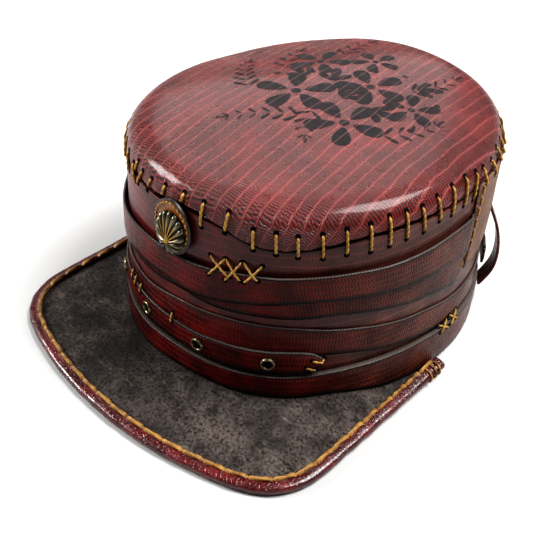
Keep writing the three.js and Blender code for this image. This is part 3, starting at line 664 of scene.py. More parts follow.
def suede():
    # Charcoal roughout of the peak, napped and scuffed.
    material, tree, shader = start_material("charcoal_suede")
    place = map_place(tree, objectwise=True)
    clouds = spread(tree, noise_of(tree, place, 0.038, 6.0, 0.62), 0.34, 0.66)
    blots = spread(tree, noise_of(tree, place, 0.011, 6.0, 0.7), 0.28, 0.62)
    nap = noise_of(tree, place, 0.0016, 5.0, 0.75)
    base = blend(tree, clouds, colour("393330"), colour("6a605a"))
    base = blend(tree, blots, colour("2b2523"), base)
    base = blend(tree, spread(tree, nap, 0.36, 0.56), colour("171413"), base)
    drawn_out = map_place(tree, (1, 2.4, 1), objectwise=True)
    rubs = spread(tree, noise_of(tree, drawn_out, 0.012, 6.0, 0.75), 0.56, 0.72)
    base = blend(tree, calc(tree, "MULTIPLY", rubs, 0.6), base, colour("7d746d"))
    tree.links.new(base, shader.inputs["Base Color"])
    shader.inputs["Roughness"].default_value = 0.66
    shader.inputs["Specular IOR Level"].default_value = 0.22
    set_bump(
        tree,
        shader,
        [
            (noise_of(tree, place, 0.009, 6.0, 0.7), 0.0022, 0.9),
            (nap, 0.0009, 1.0),
        ],
    )
    return material


def binding_leather():
    # Glossy dark red garment leather rolled over the peak's edge, crackled and creased.
    material, tree, shader = start_material("red_binding_leather")
    place = map_place(tree, objectwise=True)
    patches = spread(tree, noise_of(tree, place, 0.014, 5.0), 0.32, 0.7)
    base = blend(tree, patches, colour("3c0c0e"), colour("6e2021"))
    crackle_place = map_place(tree, (1 / 0.0021,) * 3, wobble=0.0018, wobble_size=0.006, objectwise=True)
    crackle = spread(tree, cells(tree, crackle_place, 0.95), 0.0, 0.14)
    base = blend(tree, crackle, colour("330a0c"), base)
    tree.links.new(base, shader.inputs["Base Color"])
    uneven_gloss(tree, shader, place, 0.004, 0.22, 0.42)
    shader.inputs["Coat Weight"].default_value = 0.35
    shader.inputs["Coat Roughness"].default_value = 0.18
    set_bump(tree, shader, [(noise_of(tree, place, 0.007, 4.0), 0.0009, 0.6), (crackle, 0.0002, 0.6)])
    return material


def patch_leather():
    # Saddle-tan patch leather, darkened towards its burnished edge.
    material, tree, shader = start_material("saddle_patch_leather")
    place = map_place(tree, objectwise=True)
    patches = spread(tree, noise_of(tree, place, 0.006, 5.0), 0.3, 0.7)
    rim = attribute(tree, "rim")
    base = blend(tree, patches, colour("5e3010"), colour("8c5a22"))
    base = blend(tree, rim, base, colour("1c0d05"))
    tree.links.new(base, shader.inputs["Base Color"])
    shader.inputs["Roughness"].default_value = 0.36
    set_bump(tree, shader, [(noise_of(tree, place, 0.0016, 4.0), 0.0003, 0.6)])
    return material


def aged_brass():
    # Antique brass with dark tarnish in its hollows.
    material, tree, shader = start_material("aged_brass")
    place = map_place(tree, objectwise=True)
    tarnish = spread(tree, noise_of(tree, place, 0.0022, 5.0, 0.65), 0.4, 0.72)
    base = blend(tree, tarnish, colour("8a8068"), colour("3c3426"))
    tree.links.new(base, shader.inputs["Base Color"])
    tree.links.new(spread(tree, tarnish, 0.0, 1.0, 0.3, 0.55), shader.inputs["Roughness"])
    shader.inputs["Metallic"].default_value = 0.92
    set_bump(tree, shader, [(noise_of(tree, place, 0.0009, 4.0), 0.0001, 0.5)])
    return material


def nickel_silver():
    # Nickel silver with gilt rays, dark in its hollows.
    material, tree, shader = start_material("nickel_silver")
    place = map_place(tree, objectwise=True)
    hollow = attribute(tree, "hollow")
    gilt = attribute(tree, "gilt")
    dull_spots = spread(tree, noise_of(tree, place, 0.003, 4.0), 0.3, 0.7)
    silver = blend(tree, dull_spots, colour("57544a"), colour("8e8b7e"))
    base = blend(tree, gilt, silver, colour("c79a3a"))
    base = blend(tree, hollow, base, colour("1d1a13"))
    tree.links.new(base, shader.inputs["Base Color"])
    shader.inputs["Metallic"].default_value = 0.9
    shader.inputs["Roughness"].default_value = 0.33
    set_bump(tree, shader, [(noise_of(tree, place, 0.0008, 4.0), 0.0001, 0.4)])
    return material


def waxed_thread():
    # Mustard waxed linen thread, dirtier between its strands.
    material, tree, shader = start_material("mustard_waxed_thread")
    place = map_place(tree, objectwise=True)
    dirt = spread(tree, noise_of(tree, place, 0.006, 5.0, 0.65), 0.35, 0.72)
    fibre = noise_of(tree, place, 0.0004, 3.0, 0.7)
    base = blend(tree, dirt, colour("ba944c"), colour("8c6a32"))
    base = blend(tree, spread(tree, fibre, 0.25, 0.55), colour("7c5622"), base)
    tree.links.new(base, shader.inputs["Base Color"])
    shader.inputs["Roughness"].default_value = 0.58
    set_bump(tree, shader, [(fibre, 0.00012, 0.7)])
    return material


def brown_waxed_thread():
    # Doubled waxed thread on the binding, browner and more worn.
    material, tree, shader = start_material("brown_waxed_thread")
    place = map_place(tree, objectwise=True)
    dirt = spread(tree, noise_of(tree, place, 0.005, 5.0, 0.65), 0.35, 0.7)
    fibre = noise_of(tree, place, 0.0004, 3.0, 0.7)
    base = blend(tree, dirt, colour("b58a48"), colour("6b4a24"))
    base = blend(tree, spread(tree, fibre, 0.28, 0.6), colour("503415"), base)
    tree.links.new(base, shader.inputs["Base Color"])
    shader.inputs["Roughness"].default_value = 0.55
    set_bump(tree, shader, [(fibre, 0.00015, 0.8)])
    return material


def hole_leather():
    # Raw leather in the deep shade of a punched hole.
    material, tree, shader = start_material("shaded_raw_leather")
    place = map_place(tree, objectwise=True)
    base = blend(tree, noise_of(tree, place, 0.001, 3.0), colour("060404"), colour("140d0b"))
    tree.links.new(base, shader.inputs["Base Color"])
    shader.inputs["Roughness"].default_value = 1.0
    shader.inputs["Specular IOR Level"].default_value = 0.1
    return material


def backdrop_paper(tone):
    # Pale matt paper under and behind the cap.
    material, tree, shader = start_material("matt_backdrop_paper")
    shader.inputs["Base Color"].default_value = (*tone, 1)
    shader.inputs["Roughness"].default_value = 0.8
    return material


def printed_ink():
    # Flat grey-black printing ink that follows the leather's emboss below it.
    material, tree, shader = start_material("printed_ink")
    ridges, grooves = lizard_pattern(tree)
    place = map_place(tree)
    worn = spread(tree, noise_of(tree, place, 0.004, 5.0, 0.7), 0.3, 0.75)
    base = blend(tree, worn, colour("141011"), colour("332a2c"))
    base = blend(tree, calc(tree, "MULTIPLY", ridges, 0.4), base, colour("8a6466"))
    base = blend(tree, calc(tree, "MULTIPLY", grooves, 0.6), base, colour("0c0808"))
    tree.links.new(base, shader.inputs["Base Color"])
    shader.inputs["Roughness"].default_value = 0.6
    shader.inputs["Specular IOR Level"].default_value = 0.25
    set_bump(
        tree,
        shader,
        [
            (noise_of(tree, place, 0.009, 3.0), 0.0006, 0.4),
            (ridges, 0.00035, 0.5),
            (calc(tree, "SUBTRACT", 1.0, grooves), 0.00025, 0.5),
        ],
    )
    return material


MAKERS = {
    "oxblood_lizard_leather": lizard_leather,
    "oxblood_strap_leather": strap_leather,
    "wall_leather_with_painted_shade": wall_leather,
    "tan_panel_leather": panel_leather,
    "charcoal_suede": suede,
    "red_binding_leather": binding_leather,
    "saddle_patch_leather": patch_leather,
    "aged_brass": aged_brass,
    "nickel_silver": nickel_silver,
    "mustard_waxed_thread": waxed_thread,
    "brown_waxed_thread": brown_waxed_thread,
    "shaded_raw_leather": hole_leather,
    "printed_ink": printed_ink,
}


def material_of(name):
    """The material of this name, made at its first use."""
    return bpy.data.materials.get(name) or MAKERS[name]()


# Straps wrapped round the crown.


def strap_edges(node, crown, degrees):
    """Low edge, high edge and outer face of a solid strap at each bearing, or None off its ends."""
    tree = tree_of([frame["nodes"][node]])
    step = 1.2 * MM
    heights = np.arange(-0.012, 0.112, step)
    rows = []
    for deg in degrees:

        def hit(up):
            return side_hit(tree, crown, deg, up)[0]

        inside = [up for up in heights if hit(up)]
        if not inside:
            rows.append(None)
            continue
        low = border(inside[0], inside[0] - step, hit, 8)
        high = border(inside[-1], inside[-1] + step, hit, 8)
        places = [hit(low + share * (high - low)) for share in (0.15, 0.85)]
        outs = [float(cap_coordinates(crown, [place])[1][0]) for place in places if place]
        rows.append((low, high, sum(outs) / len(outs)) if outs else None)
    return rows


def browner(degrees):
    """How brown the leather is: 0 over the front and right, 1 at the wearer's left."""
    turned = (np.asarray(degrees) - 180) % 360
    return np.clip((turned - 118) / 45, 0, 1) * np.clip((360 - turned) / 50, 0, 1)


def strap_section(low, high, out, leather, corner, pillow, across):
    """Closed section of a strap as (height, out, metres above the low edge, below the high edge)."""
    width = high - low
    corner = min(corner, width / 3)
    quarter = np.linspace(0, math.pi / 2, 4)
    rows = [(low, out - leather, 0.0, width)]
    for turn in quarter:
        rows.append((low + corner * (1 - math.cos(turn)), out - corner * (1 - math.sin(turn)), 0.0, width))
    for k in range(1, across):
        share = k / across
        swell = pillow * (1 - (2 * share - 1) ** 4)
        up = low + corner + share * (width - 2 * corner)
        rows.append((up, out + swell, up - low, high - up))
    for k, turn in enumerate(quarter):
        up = high - corner * (1 - math.sin(turn))
        rows.append((up, out - corner * (1 - math.cos(turn)), width, -0.0002 * k))
    rows.append((high, out - leather, width, -0.001))
    return rows


def strap_mesh(node, settings, leather, from_deg=0, to_deg=360, across=14):
    """Fine mesh of a solid strap with rounded long edges, a swollen middle and slight waves."""
    crown, straps = settings.crown, settings.straps
    closed = to_deg - from_deg >= 360
    count = max(12, int(straps.stations * (to_deg - from_deg) / 360))
    degrees = np.linspace(from_deg, to_deg, count, endpoint=not closed)
    stations = [(deg, row) for deg, row in zip(degrees, strap_edges(node, crown, degrees)) if row]
    points, low_gap, high_gap, along, heights, bearing = [], [], [], [], [], []
    run, before = 0.0, None
    for deg, (low, high, out) in stations:
        place = cap_point(crown, deg, out, (low + high) / 2)
        run += (place - before).length if before else 0.0
        before = place
        seed = Vector((len(node) * 3.1, low * 9, 0.7))
        round_it = Vector((math.cos(math.radians(deg)) * 6, math.sin(math.radians(deg)) * 6, 0))
        section = strap_section(low, high, out, leather, straps.corner, straps.pillow, across)
        for up, reach, above, below in section:
            shift = straps.wave * noise.noise(seed + round_it + Vector((0, 0, up * 90)))
            points.append(cap_point(crown, deg, reach + shift, up))
            low_gap.append(above)
            high_gap.append(below)
            along.append(run)
            heights.append(up)
            bearing.append(deg)
    around = len(points) // len(stations)
    mesh = closed_mesh(node + "_look", points, loft_faces(len(stations), around, closed))
    write_ring_map(mesh, along, heights, run + run / len(stations) if closed else 1e9)
    write_value(mesh, "above_low", low_gap)
    write_value(mesh, "below_high", high_gap)
    write_value(mesh, "brown", browner(bearing))
    return mesh


# Waxed thread and the holes that it goes through.

# Whip stitches seen from the front left: bearing of the head, height of head and foot in
# shares of the crown's height, and how far the foot lies ahead of the head in degrees.
WHIP_ROWS = [
    {"deg": 249.6, "head": 0.926, "foot": 0.852, "ahead": -2.4},
    {"deg": 253.7, "head": 0.91, "foot": 0.832, "ahead": -3.2},
    {"deg": 259, "head": 0.914, "foot": 0.85, "ahead": -2.2},
    {"deg": 265.6, "head": 0.928, "foot": 0.885, "ahead": -0.3},
    {"deg": 273.6, "head": 0.943, "foot": 0.877, "ahead": -0.6},
    {"deg": 281.3, "head": 0.945, "foot": 0.842, "ahead": 0},
    {"deg": 289.8, "head": 0.942, "foot": 0.858, "ahead": -0.6},
    {"deg": 297.7, "head": 0.9, "foot": 0.81, "ahead": 0.2},
    {"deg": 304.1, "head": 0.899, "foot": 0.804, "ahead": 0.3},
    {"deg": 310, "head": 0.892, "foot": 0.798, "ahead": 0.4},
    {"deg": 316.5, "head": 0.904, "foot": 0.793, "ahead": 0.6},
    {"deg": 322.9, "head": 0.918, "foot": 0.804, "ahead": 0.6},
    {"deg": 329.5, "head": 0.925, "foot": 0.799, "ahead": 0.8},
    {"deg": 335.1, "head": 0.94, "foot": 0.805, "ahead": 0.8},
    {"deg": 340.4, "head": 0.939, "foot": 0.813, "ahead": 0.9},
    {"deg": 345.9, "head": 0.934, "foot": 0.813, "ahead": 1.4},
    {"deg": 351.8, "head": 0.944, "foot": 0.829, "ahead": 1.5},
    {"deg": 358.5, "head": 0.951, "foot": 0.821, "ahead": 0.1},
    {"deg": 4.8, "head": 0.952, "foot": 0.825, "ahead": -0.5},
    {"deg": 10.1, "head": 0.94, "foot": 0.816, "ahead": -0.8},
    {"deg": 14.5, "head": 0.931, "foot": 0.86, "ahead": -0.1},
]

# Decorative and joining stitches on the side: bearings and heights in shares of the crown's height.
CROSS_ROWS = [
    {"deg": 284.6, "up": 0.714, "to_deg": 291.8, "to_up": 0.655},
    {"deg": 285.0, "up": 0.632, "to_deg": 289.6, "to_up": 0.722},
    {"deg": 289.9, "up": 0.724, "to_deg": 295.2, "to_up": 0.65},
    {"deg": 290.3, "up": 0.63, "to_deg": 294.8, "to_up": 0.728},
    {"deg": 295.4, "up": 0.73, "to_deg": 300.1, "to_up": 0.67},
    {"deg": 296.1, "up": 0.648, "to_deg": 300.8, "to_up": 0.73},
    {"deg": 316.7, "up": 0.241, "to_deg": 320.4, "to_up": 0.223},
    {"deg": 315.2, "up": 0.199, "to_deg": 317.8, "to_up": 0.185},
    {"deg": 244.7, "up": 0.292, "to_deg": 244.9, "to_up": 0.245},
    {"deg": 248.0, "up": 0.29, "to_deg": 248.2, "to_up": 0.24},
    {"deg": 252.1, "up": 0.283, "to_deg": 252.3, "to_up": 0.238},
    {"deg": 269.8, "up": 0.286, "to_deg": 270.0, "to_up": 0.238},
    {"deg": 2.3, "up": 0.157, "to_deg": 6.4, "to_up": 0.112},
    {"deg": 2.6, "up": 0.115, "to_deg": 6.2, "to_up": 0.16},
    {"deg": 7.8, "up": 0.165, "to_deg": 11.8, "to_up": 0.11},
    {"deg": 8.0, "up": 0.112, "to_deg": 11.6, "to_up": 0.165},
]


# Seam down the front edge of the rear panel: its first stitch, and the steps to the next one.
PANEL_SEAM = {
    "count": 8,
    "deg": 13.2,
    "deg_step": -0.3,
    "slant": -0.3,
    "up": 0.86,
    "up_step": -0.057,
    "drop": -0.043,
}

# Distances of the turns of thread from the end of the binding's row of stitches.
WRAPS = (2.5 * MM, 6 * MM, 10.5 * MM)


def skirt_edge(tree, crown, deg):
    """Height of the skirt's lower edge at a bearing, as a share of the crown's height."""
    shares = np.arange(0.7, 1, 0.004)
    return next(share for share in shares if side_hit(tree, crown, deg, share * crown.height)[0])


def whip_rows(crown, thread):
    """The whip stitches all round: those of the table, then evenly on over the hidden sides."""
    rows = [dict(row) for row in WHIP_ROWS]
    tree = tree_of([frame["nodes"]["crown_top"]])
    pitch = math.degrees(thread.whip_pitch)
    deg = WHIP_ROWS[-1]["deg"] + pitch
    end = WHIP_ROWS[0]["deg"] - pitch / 2
    count = round((end - deg) / pitch)
    for k in range(count + 1):
        here = deg + k * (end - deg) / count
        edge = skirt_edge(tree, crown, here)
        rows.append(
            {
                "deg": here,
                "head": edge + 0.034 + 0.006 * math.sin(k * 2.1),
                "foot": edge - 0.042 + 0.008 * math.sin(k * 1.3 + 1),
                "ahead": 0.9 + 0.8 * math.sin(k * 1.7),
            }
        )
    return rows


def taut(outs):
    """Heights of a taut thread over points: the upper hull of the surface below it."""
    n = len(outs)
    hull = [0]
    for i in range(1, n):
        while len(hull) > 1:
            a, b = hull[-2], hull[-1]
            if outs[b] <= outs[a] + (outs[i] - outs[a]) * (b - a) / (i - a):
                hull.pop()
            else:
                break
        hull.append(i)
    return np.interp(range(n), hull, [outs[k] for k in hull])


def side_thread(tree, crown, start, end, radius, steps=14):
    """Path of one stitch over the side from (bearing, height) to (bearing, height)."""
    span = (end[0] - start[0] + 180) % 360 - 180
    spots, outs = [], []
    for i in range(steps + 1):
        t = i / steps
        deg, up = start[0] + t * span, start[1] + t * (end[1] - start[1])
        place, normal = side_hit(tree, crown, deg, up)
        if place is None:
            continue
        lifted = place + normal * radius * 0.85
        _, out, height = cap_coordinates(crown, [lifted])
        spots.append((deg, float(height[0])))
        outs.append(float(out[0]))
    if len(spots) < 4:
        return []
    path = [cap_point(crown, deg, out, up) for (deg, up), out in zip(spots, taut(outs))]
    for end in (0, -1):
        deg, up = spots[end]
        inward = (cap_point(crown, deg, -BESIDE, up) - path[end]).normalized()
        path[end] += inward * radius * 2
    return path


def binding_line(thread):
    """Plan of the binding's row of stitches, and the directions inward from it."""
    binding = tree_of_looks("peak_binding")
    low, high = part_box("peak_binding")
    centre = Vector(((low.x + high.x) / 2, high.y - 3 * MM))
    step = 1.5 * MM
    edge = []
    for turn in np.linspace(math.pi, 2 * math.pi, 241):
        direction = Vector((math.cos(turn), math.sin(turn)))

        def hit(radius):
            return top_hit(binding, *(centre + direction * radius))[0]

        first = next((radius for radius in np.arange(0.2, 0.04, -step) if hit(radius)), None)
        if first is not None:
            edge.append(tuple(centre + direction * border(first, first + step, hit, 6)))
    smooth = np.array(edge)
    for _ in range(6):
        smooth[1:-1] = (smooth[:-2] + 2 * smooth[1:-1] + smooth[2:]) / 4
    tangent = np.gradient(smooth, axis=0)
    tangent /= np.linalg.norm(tangent, axis=1)[:, None]
    inward = np.column_stack((-tangent[:, 1], tangent[:, 0]))
    return smooth + inward * thread.binding_inset, inward


def new_group(name, inputs):
    """A Geometry Nodes group with a geometry input, named inputs and a geometry output."""
    group = bpy.data.node_groups.new(name, "GeometryNodeTree")
    sockets = {"Geometry": "NodeSocketGeometry", **inputs, "Material": "NodeSocketMaterial"}
    for label, kind in sockets.items():
        group.interface.new_socket(label, in_out="INPUT", socket_type=kind)
    group.interface.new_socket("Geometry", in_out="OUTPUT", socket_type="NodeSocketGeometry")
    return group, add(group, "NodeGroupInput").outputs


def end_group(group, geometry, material):
    real = add(group, "GeometryNodeRealizeInstances", {"Geometry": geometry})
    paint = add(group, "GeometryNodeSetMaterial", {"Geometry": real.outputs[0], "Material": material})
    add(group, "NodeGroupOutput", {"Geometry": paint.outputs[0]})
    return group


def thread_group():
    """Geometry Nodes: each run of edges becomes a laid thread of three strands."""
    floats = {label: "NodeSocketFloat" for label in ("Diameter", "Lay", "Step")}
    group, given = new_group("Laid thread", floats)
    curve = add(group, "GeometryNodeMeshToCurve", {"Mesh": given["Geometry"]})
    spacing = {"Curve": curve.outputs[0], "Length": given["Step"]}
    even = add(group, "GeometryNodeResampleCurve", spacing, mode="LENGTH")
    place = add(group, "GeometryNodeSplineParameter")
    turns = calc(group, "DIVIDE", place.outputs["Length"], given["Lay"])
    twist = calc(group, "MULTIPLY", turns, 2 * math.pi)
    tilt = add(group, "GeometryNodeSetCurveTilt", {"Curve": even.outputs[0], "Tilt": twist})
    radii = {
        "Points": 3,
        "Inner Radius": calc(group, "MULTIPLY", given["Diameter"], 0.4),
        "Outer Radius": calc(group, "MULTIPLY", given["Diameter"], 0.56),
    }
    star = add(group, "GeometryNodeCurveStar", radii)
    lobes = add(group, "GeometryNodeSubdivideCurve", {"Curve": star.outputs["Curve"], "Cuts": 1})
    tube = add(
        group,
        "GeometryNodeCurveToMesh",
        {"Curve": tilt.outputs[0], "Profile Curve": lobes.outputs[0], "Fill Caps": True},
    )
    smooth = add(group, "GeometryNodeSetShadeSmooth", {"Geometry": tube.outputs[0]})
    return end_group(group, smooth.outputs[0], given["Material"])


def scatter_group():
    """Geometry Nodes: one source object on every point, turned to the point's normal."""
    group, given = new_group("Set on points", {"Source": "NodeSocketObject", "Size": "NodeSocketFloat"})
    source = add(group, "GeometryNodeObjectInfo", {"Object": given["Source"]})
    facing = add(group, "GeometryNodeInputNamedAttribute", {"Name": "facing"}, data_type="FLOAT_VECTOR")
    turned = add(group, "FunctionNodeAlignRotationToVector", {"Vector": facing.outputs[0]}, axis="Z")
    placed = add(
        group,
        "GeometryNodeInstanceOnPoints",
        {
            "Points": given["Geometry"],
            "Instance": source.outputs["Geometry"],
            "Rotation": turned.outputs[0],
            "Scale": given["Size"],
        },
    )
    return end_group(group, placed.outputs[0], given["Material"])


def grown(name, mesh, group, values):
    """Mesh that a node group makes of a helper mesh with the named inputs set."""
    names = {item.name: item.identifier for item in group.interface.items_tree if item.in_out == "INPUT"}

    def add_modifiers(modifiers):
        modifier = modifiers.new("grow", "NODES")
        modifier.node_group = group
        for label, value in values.items():
            modifier[names[label]] = value

    return evaluated(name, mesh, add_modifiers)


def threads(name, paths, diameter, lay, material="mustard_waxed_thread"):
    """One piece of laid thread from a list of paths."""
    points, edges = [], []
    for path in paths:
        start = len(points)
        points.extend(tuple(p) for p in path)
        edges.extend((start + i, start + i + 1) for i in range(len(path) - 1))
    mesh = bpy.data.meshes.new(name + "_paths")
    mesh.from_pydata(points, edges, [])
    group = bpy.data.node_groups.get("Laid thread") or thread_group()
    wax = material_of(material)
    made = grown(name, mesh, group, {"Diameter": diameter, "Lay": lay, "Step": 0.5 * MM, "Material": wax})
    return piece(name, made, wax)


def scattered(name, source_mesh, hits, size, material, nodes=()):
    """One piece made of a source mesh on every (place, normal)."""
    source = bpy.data.objects.new(name + "_source", source_mesh)
    bpy.context.scene.collection.objects.link(source)
    mesh = bpy.data.meshes.new(name + "_points")
    mesh.from_pydata([tuple(place) for place, _ in hits], [], [])
    layer = mesh.attributes.new("facing", "FLOAT_VECTOR", "POINT")
    layer.data.foreach_set("vector", np.array([tuple(normal) for _, normal in hits]).ravel())
    group = bpy.data.node_groups.get("Set on points") or scatter_group()
    finish = material_of(material)
    made = grown(name, mesh, group, {"Source": source, "Size": size, "Material": finish})
    bpy.data.objects.remove(source)
    return piece(name, made, finish, nodes)


def holes(name, hits, radius):
    """Dark punched holes where threads go in, as flat closed lenses; their dark colour is painted shade."""
    work = bmesh.new()
    bmesh.ops.create_uvsphere(work, u_segments=12, v_segments=8, radius=1)
    for v in work.verts:
        v.co.z *= 0.22
    lens = bpy.data.meshes.new(name + "_lens")
    work.to_mesh(lens)
    work.free()
    lens.shade_smooth()
    return scattered(name, lens, hits, radius, "shaded_raw_leather")


class KEPI_OT_crown(bpy.types.Operator):
    """Builds the crown's side and its top piece with the dents of the stitches"""

    bl_idname = "kepi.crown"
    bl_label = "Crown"

    def execute(self, context):
        settings = context.scene.kepi
        crown = settings.crown
        wall = dressed("crown_wall", 2, 0.5 * MM)
        deg, _, up = cap_coordinates(crown, vertices_of(wall))
        around = math.pi * (crown.half_width + crown.half_length)
        write_ring_map(wall, deg / 360 * around, up, around)
        write_value(wall, "brown", browner(deg))
        # The skirt's edge height round the crown, below which the wall's colour carries painted shade.
        tree = tree_of([frame["nodes"]["crown_top"]])
        turns = np.arange(0, 361, 4)
        edges = [skirt_edge(tree, crown, turn) * crown.height for turn in turns]
        write_value(wall, "skirt", np.interp(deg, turns, edges))
        look("crown_wall", wall, "wall_leather_with_painted_shade")

        top = dressed("crown_top", 2, 0.5 * MM)
        co = vertices_of(top)
        deg, out, up = cap_coordinates(crown, co)
        normals = normals_of(top)
        for row in whip_rows(crown, settings.thread):
            middle = row["deg"] + row["ahead"] * 0.35
            height = crown.height * (0.45 * row["head"] + 0.55 * row["foot"])
            near = (deg - middle + 180) % 360 - 180
            flat = np.radians(near) * CROWN_RADIUS
            gap = np.sqrt(flat**2 + ((up - height) * 0.6) ** 2)
            dent = crown.dent_depth * np.exp(-((gap / crown.dent_radius) ** 2)) * (out > -0.02)
            co -= normals * dent[:, None]
        move_vertices(top, co)
        x, y, z = local_points(crown, co).T
        reach = np.hypot(x, y)
        unrolled = reach + np.maximum(0, crown.height - crown.shoulder - z)
        write_map(top, np.column_stack((x, y)) / np.maximum(reach, 1e-6)[:, None] * unrolled[:, None])
        look("crown_top", top, "oxblood_lizard_leather")
        return {"FINISHED"}


class KEPI_OT_straps(bpy.types.Operator):
    """Builds the straps round the crown, the rear panel and the keeper strap"""

    bl_idname = "kepi.straps"
    bl_label = "Straps"

    def execute(self, context):
        settings = context.scene.kepi
        straps = settings.straps
        for node, thick, start, end in (
            ("upper_band", straps.outer_leather, 0, 360),
            ("second_band", straps.inner_leather, 0, 360),
            ("middle_band", straps.inner_leather, 0, 360),
            ("eyelet_strap", straps.outer_leather, 36, 322),
            ("lower_band", straps.foot_leather, 0, 360),
        ):
            strap = strap_mesh(node, settings, thick, start, end)
            look(node, strap, "oxblood_strap_leather")
        panel = strap_mesh("rear_panel", settings, straps.panel_leather, 9, 72, across=24)
        look("rear_panel", panel, "tan_panel_leather")
        keeper = dressed("keeper_strap", 3, 0.5 * MM)
        deg, _, up = cap_coordinates(settings.crown, vertices_of(keeper))
        write_map(keeper, np.column_stack((up, np.radians(deg) * CROWN_RADIUS)))
        for name, value in (("brown", 1), ("above_low", 10 * MM), ("below_high", 10 * MM)):
            write_value(keeper, name, np.full(len(deg), value))
        look("keeper_strap", keeper, "oxblood_strap_leather")
        return {"FINISHED"}


class KEPI_OT_peak(bpy.types.Operator):
    """Builds the suede peak and its rolled binding"""

    bl_idname = "kepi.peak"
    bl_label = "Peak"

    def execute(self, context):
        look("peak", dressed("peak", 2, 0.4 * MM), "charcoal_suede")
        binding = dressed("peak_binding", 2, 0.3 * MM)
        co = vertices_of(binding)
        creases = np.array([0.35 * MM * noise.noise(Vector(p) * 160) for p in co])
        move_vertices(binding, co + normals_of(binding) * creases[:, None])
        look("peak_binding", binding, "red_binding_leather")
        return {"FINISHED"}


class KEPI_OT_eyelets(bpy.types.Operator):
    """Builds the rolled brass eyelets of the long strap"""

    bl_idname = "kepi.eyelets"
    bl_label = "Eyelets"

    def execute(self, context):
        settings = context.scene.kepi
        metal, crown = settings.metal, settings.crown
        nodes = sorted(n for n in frame["nodes"] if n.startswith("eyelet_") and n != "eyelet_strap")
        roll = (metal.eyelet_radius - metal.eyelet_bore) / 2
        middle = (metal.eyelet_radius + metal.eyelet_bore) / 2
        points, around, turns = [], 14, 48
        for i in range(turns):
            angle = 2 * math.pi * i / turns
            for j in range(around):
                spin = 2 * math.pi * j / around
                r = middle + roll * math.cos(spin)
                lift = math.sin(spin)
                z = metal.eyelet_rise * (0.35 + lift) if lift > 0 else 0.8 * MM * lift
                points.append((r * math.cos(angle), r * math.sin(angle), z))
        ring = closed_mesh("eyelet_ring", points, loft_faces(turns, around, True))
        strap = tree_of_looks("eyelet_strap")
        hits = []
        for node in nodes:
            low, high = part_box(node)
            deg, _, up = cap_coordinates(crown, [tuple((low + high) / 2)])
            hits.append(side_hit(strap, crown, float(deg[0]), float(up[0])))
        scattered("eyelets", ring, hits, 1.0, "aged_brass", nodes)
        # Dark lenses in the bores: painted shade inside the eyelets.
        holes("eyelet_bores", hits, metal.eyelet_bore * 1.02)
        return {"FINISHED"}


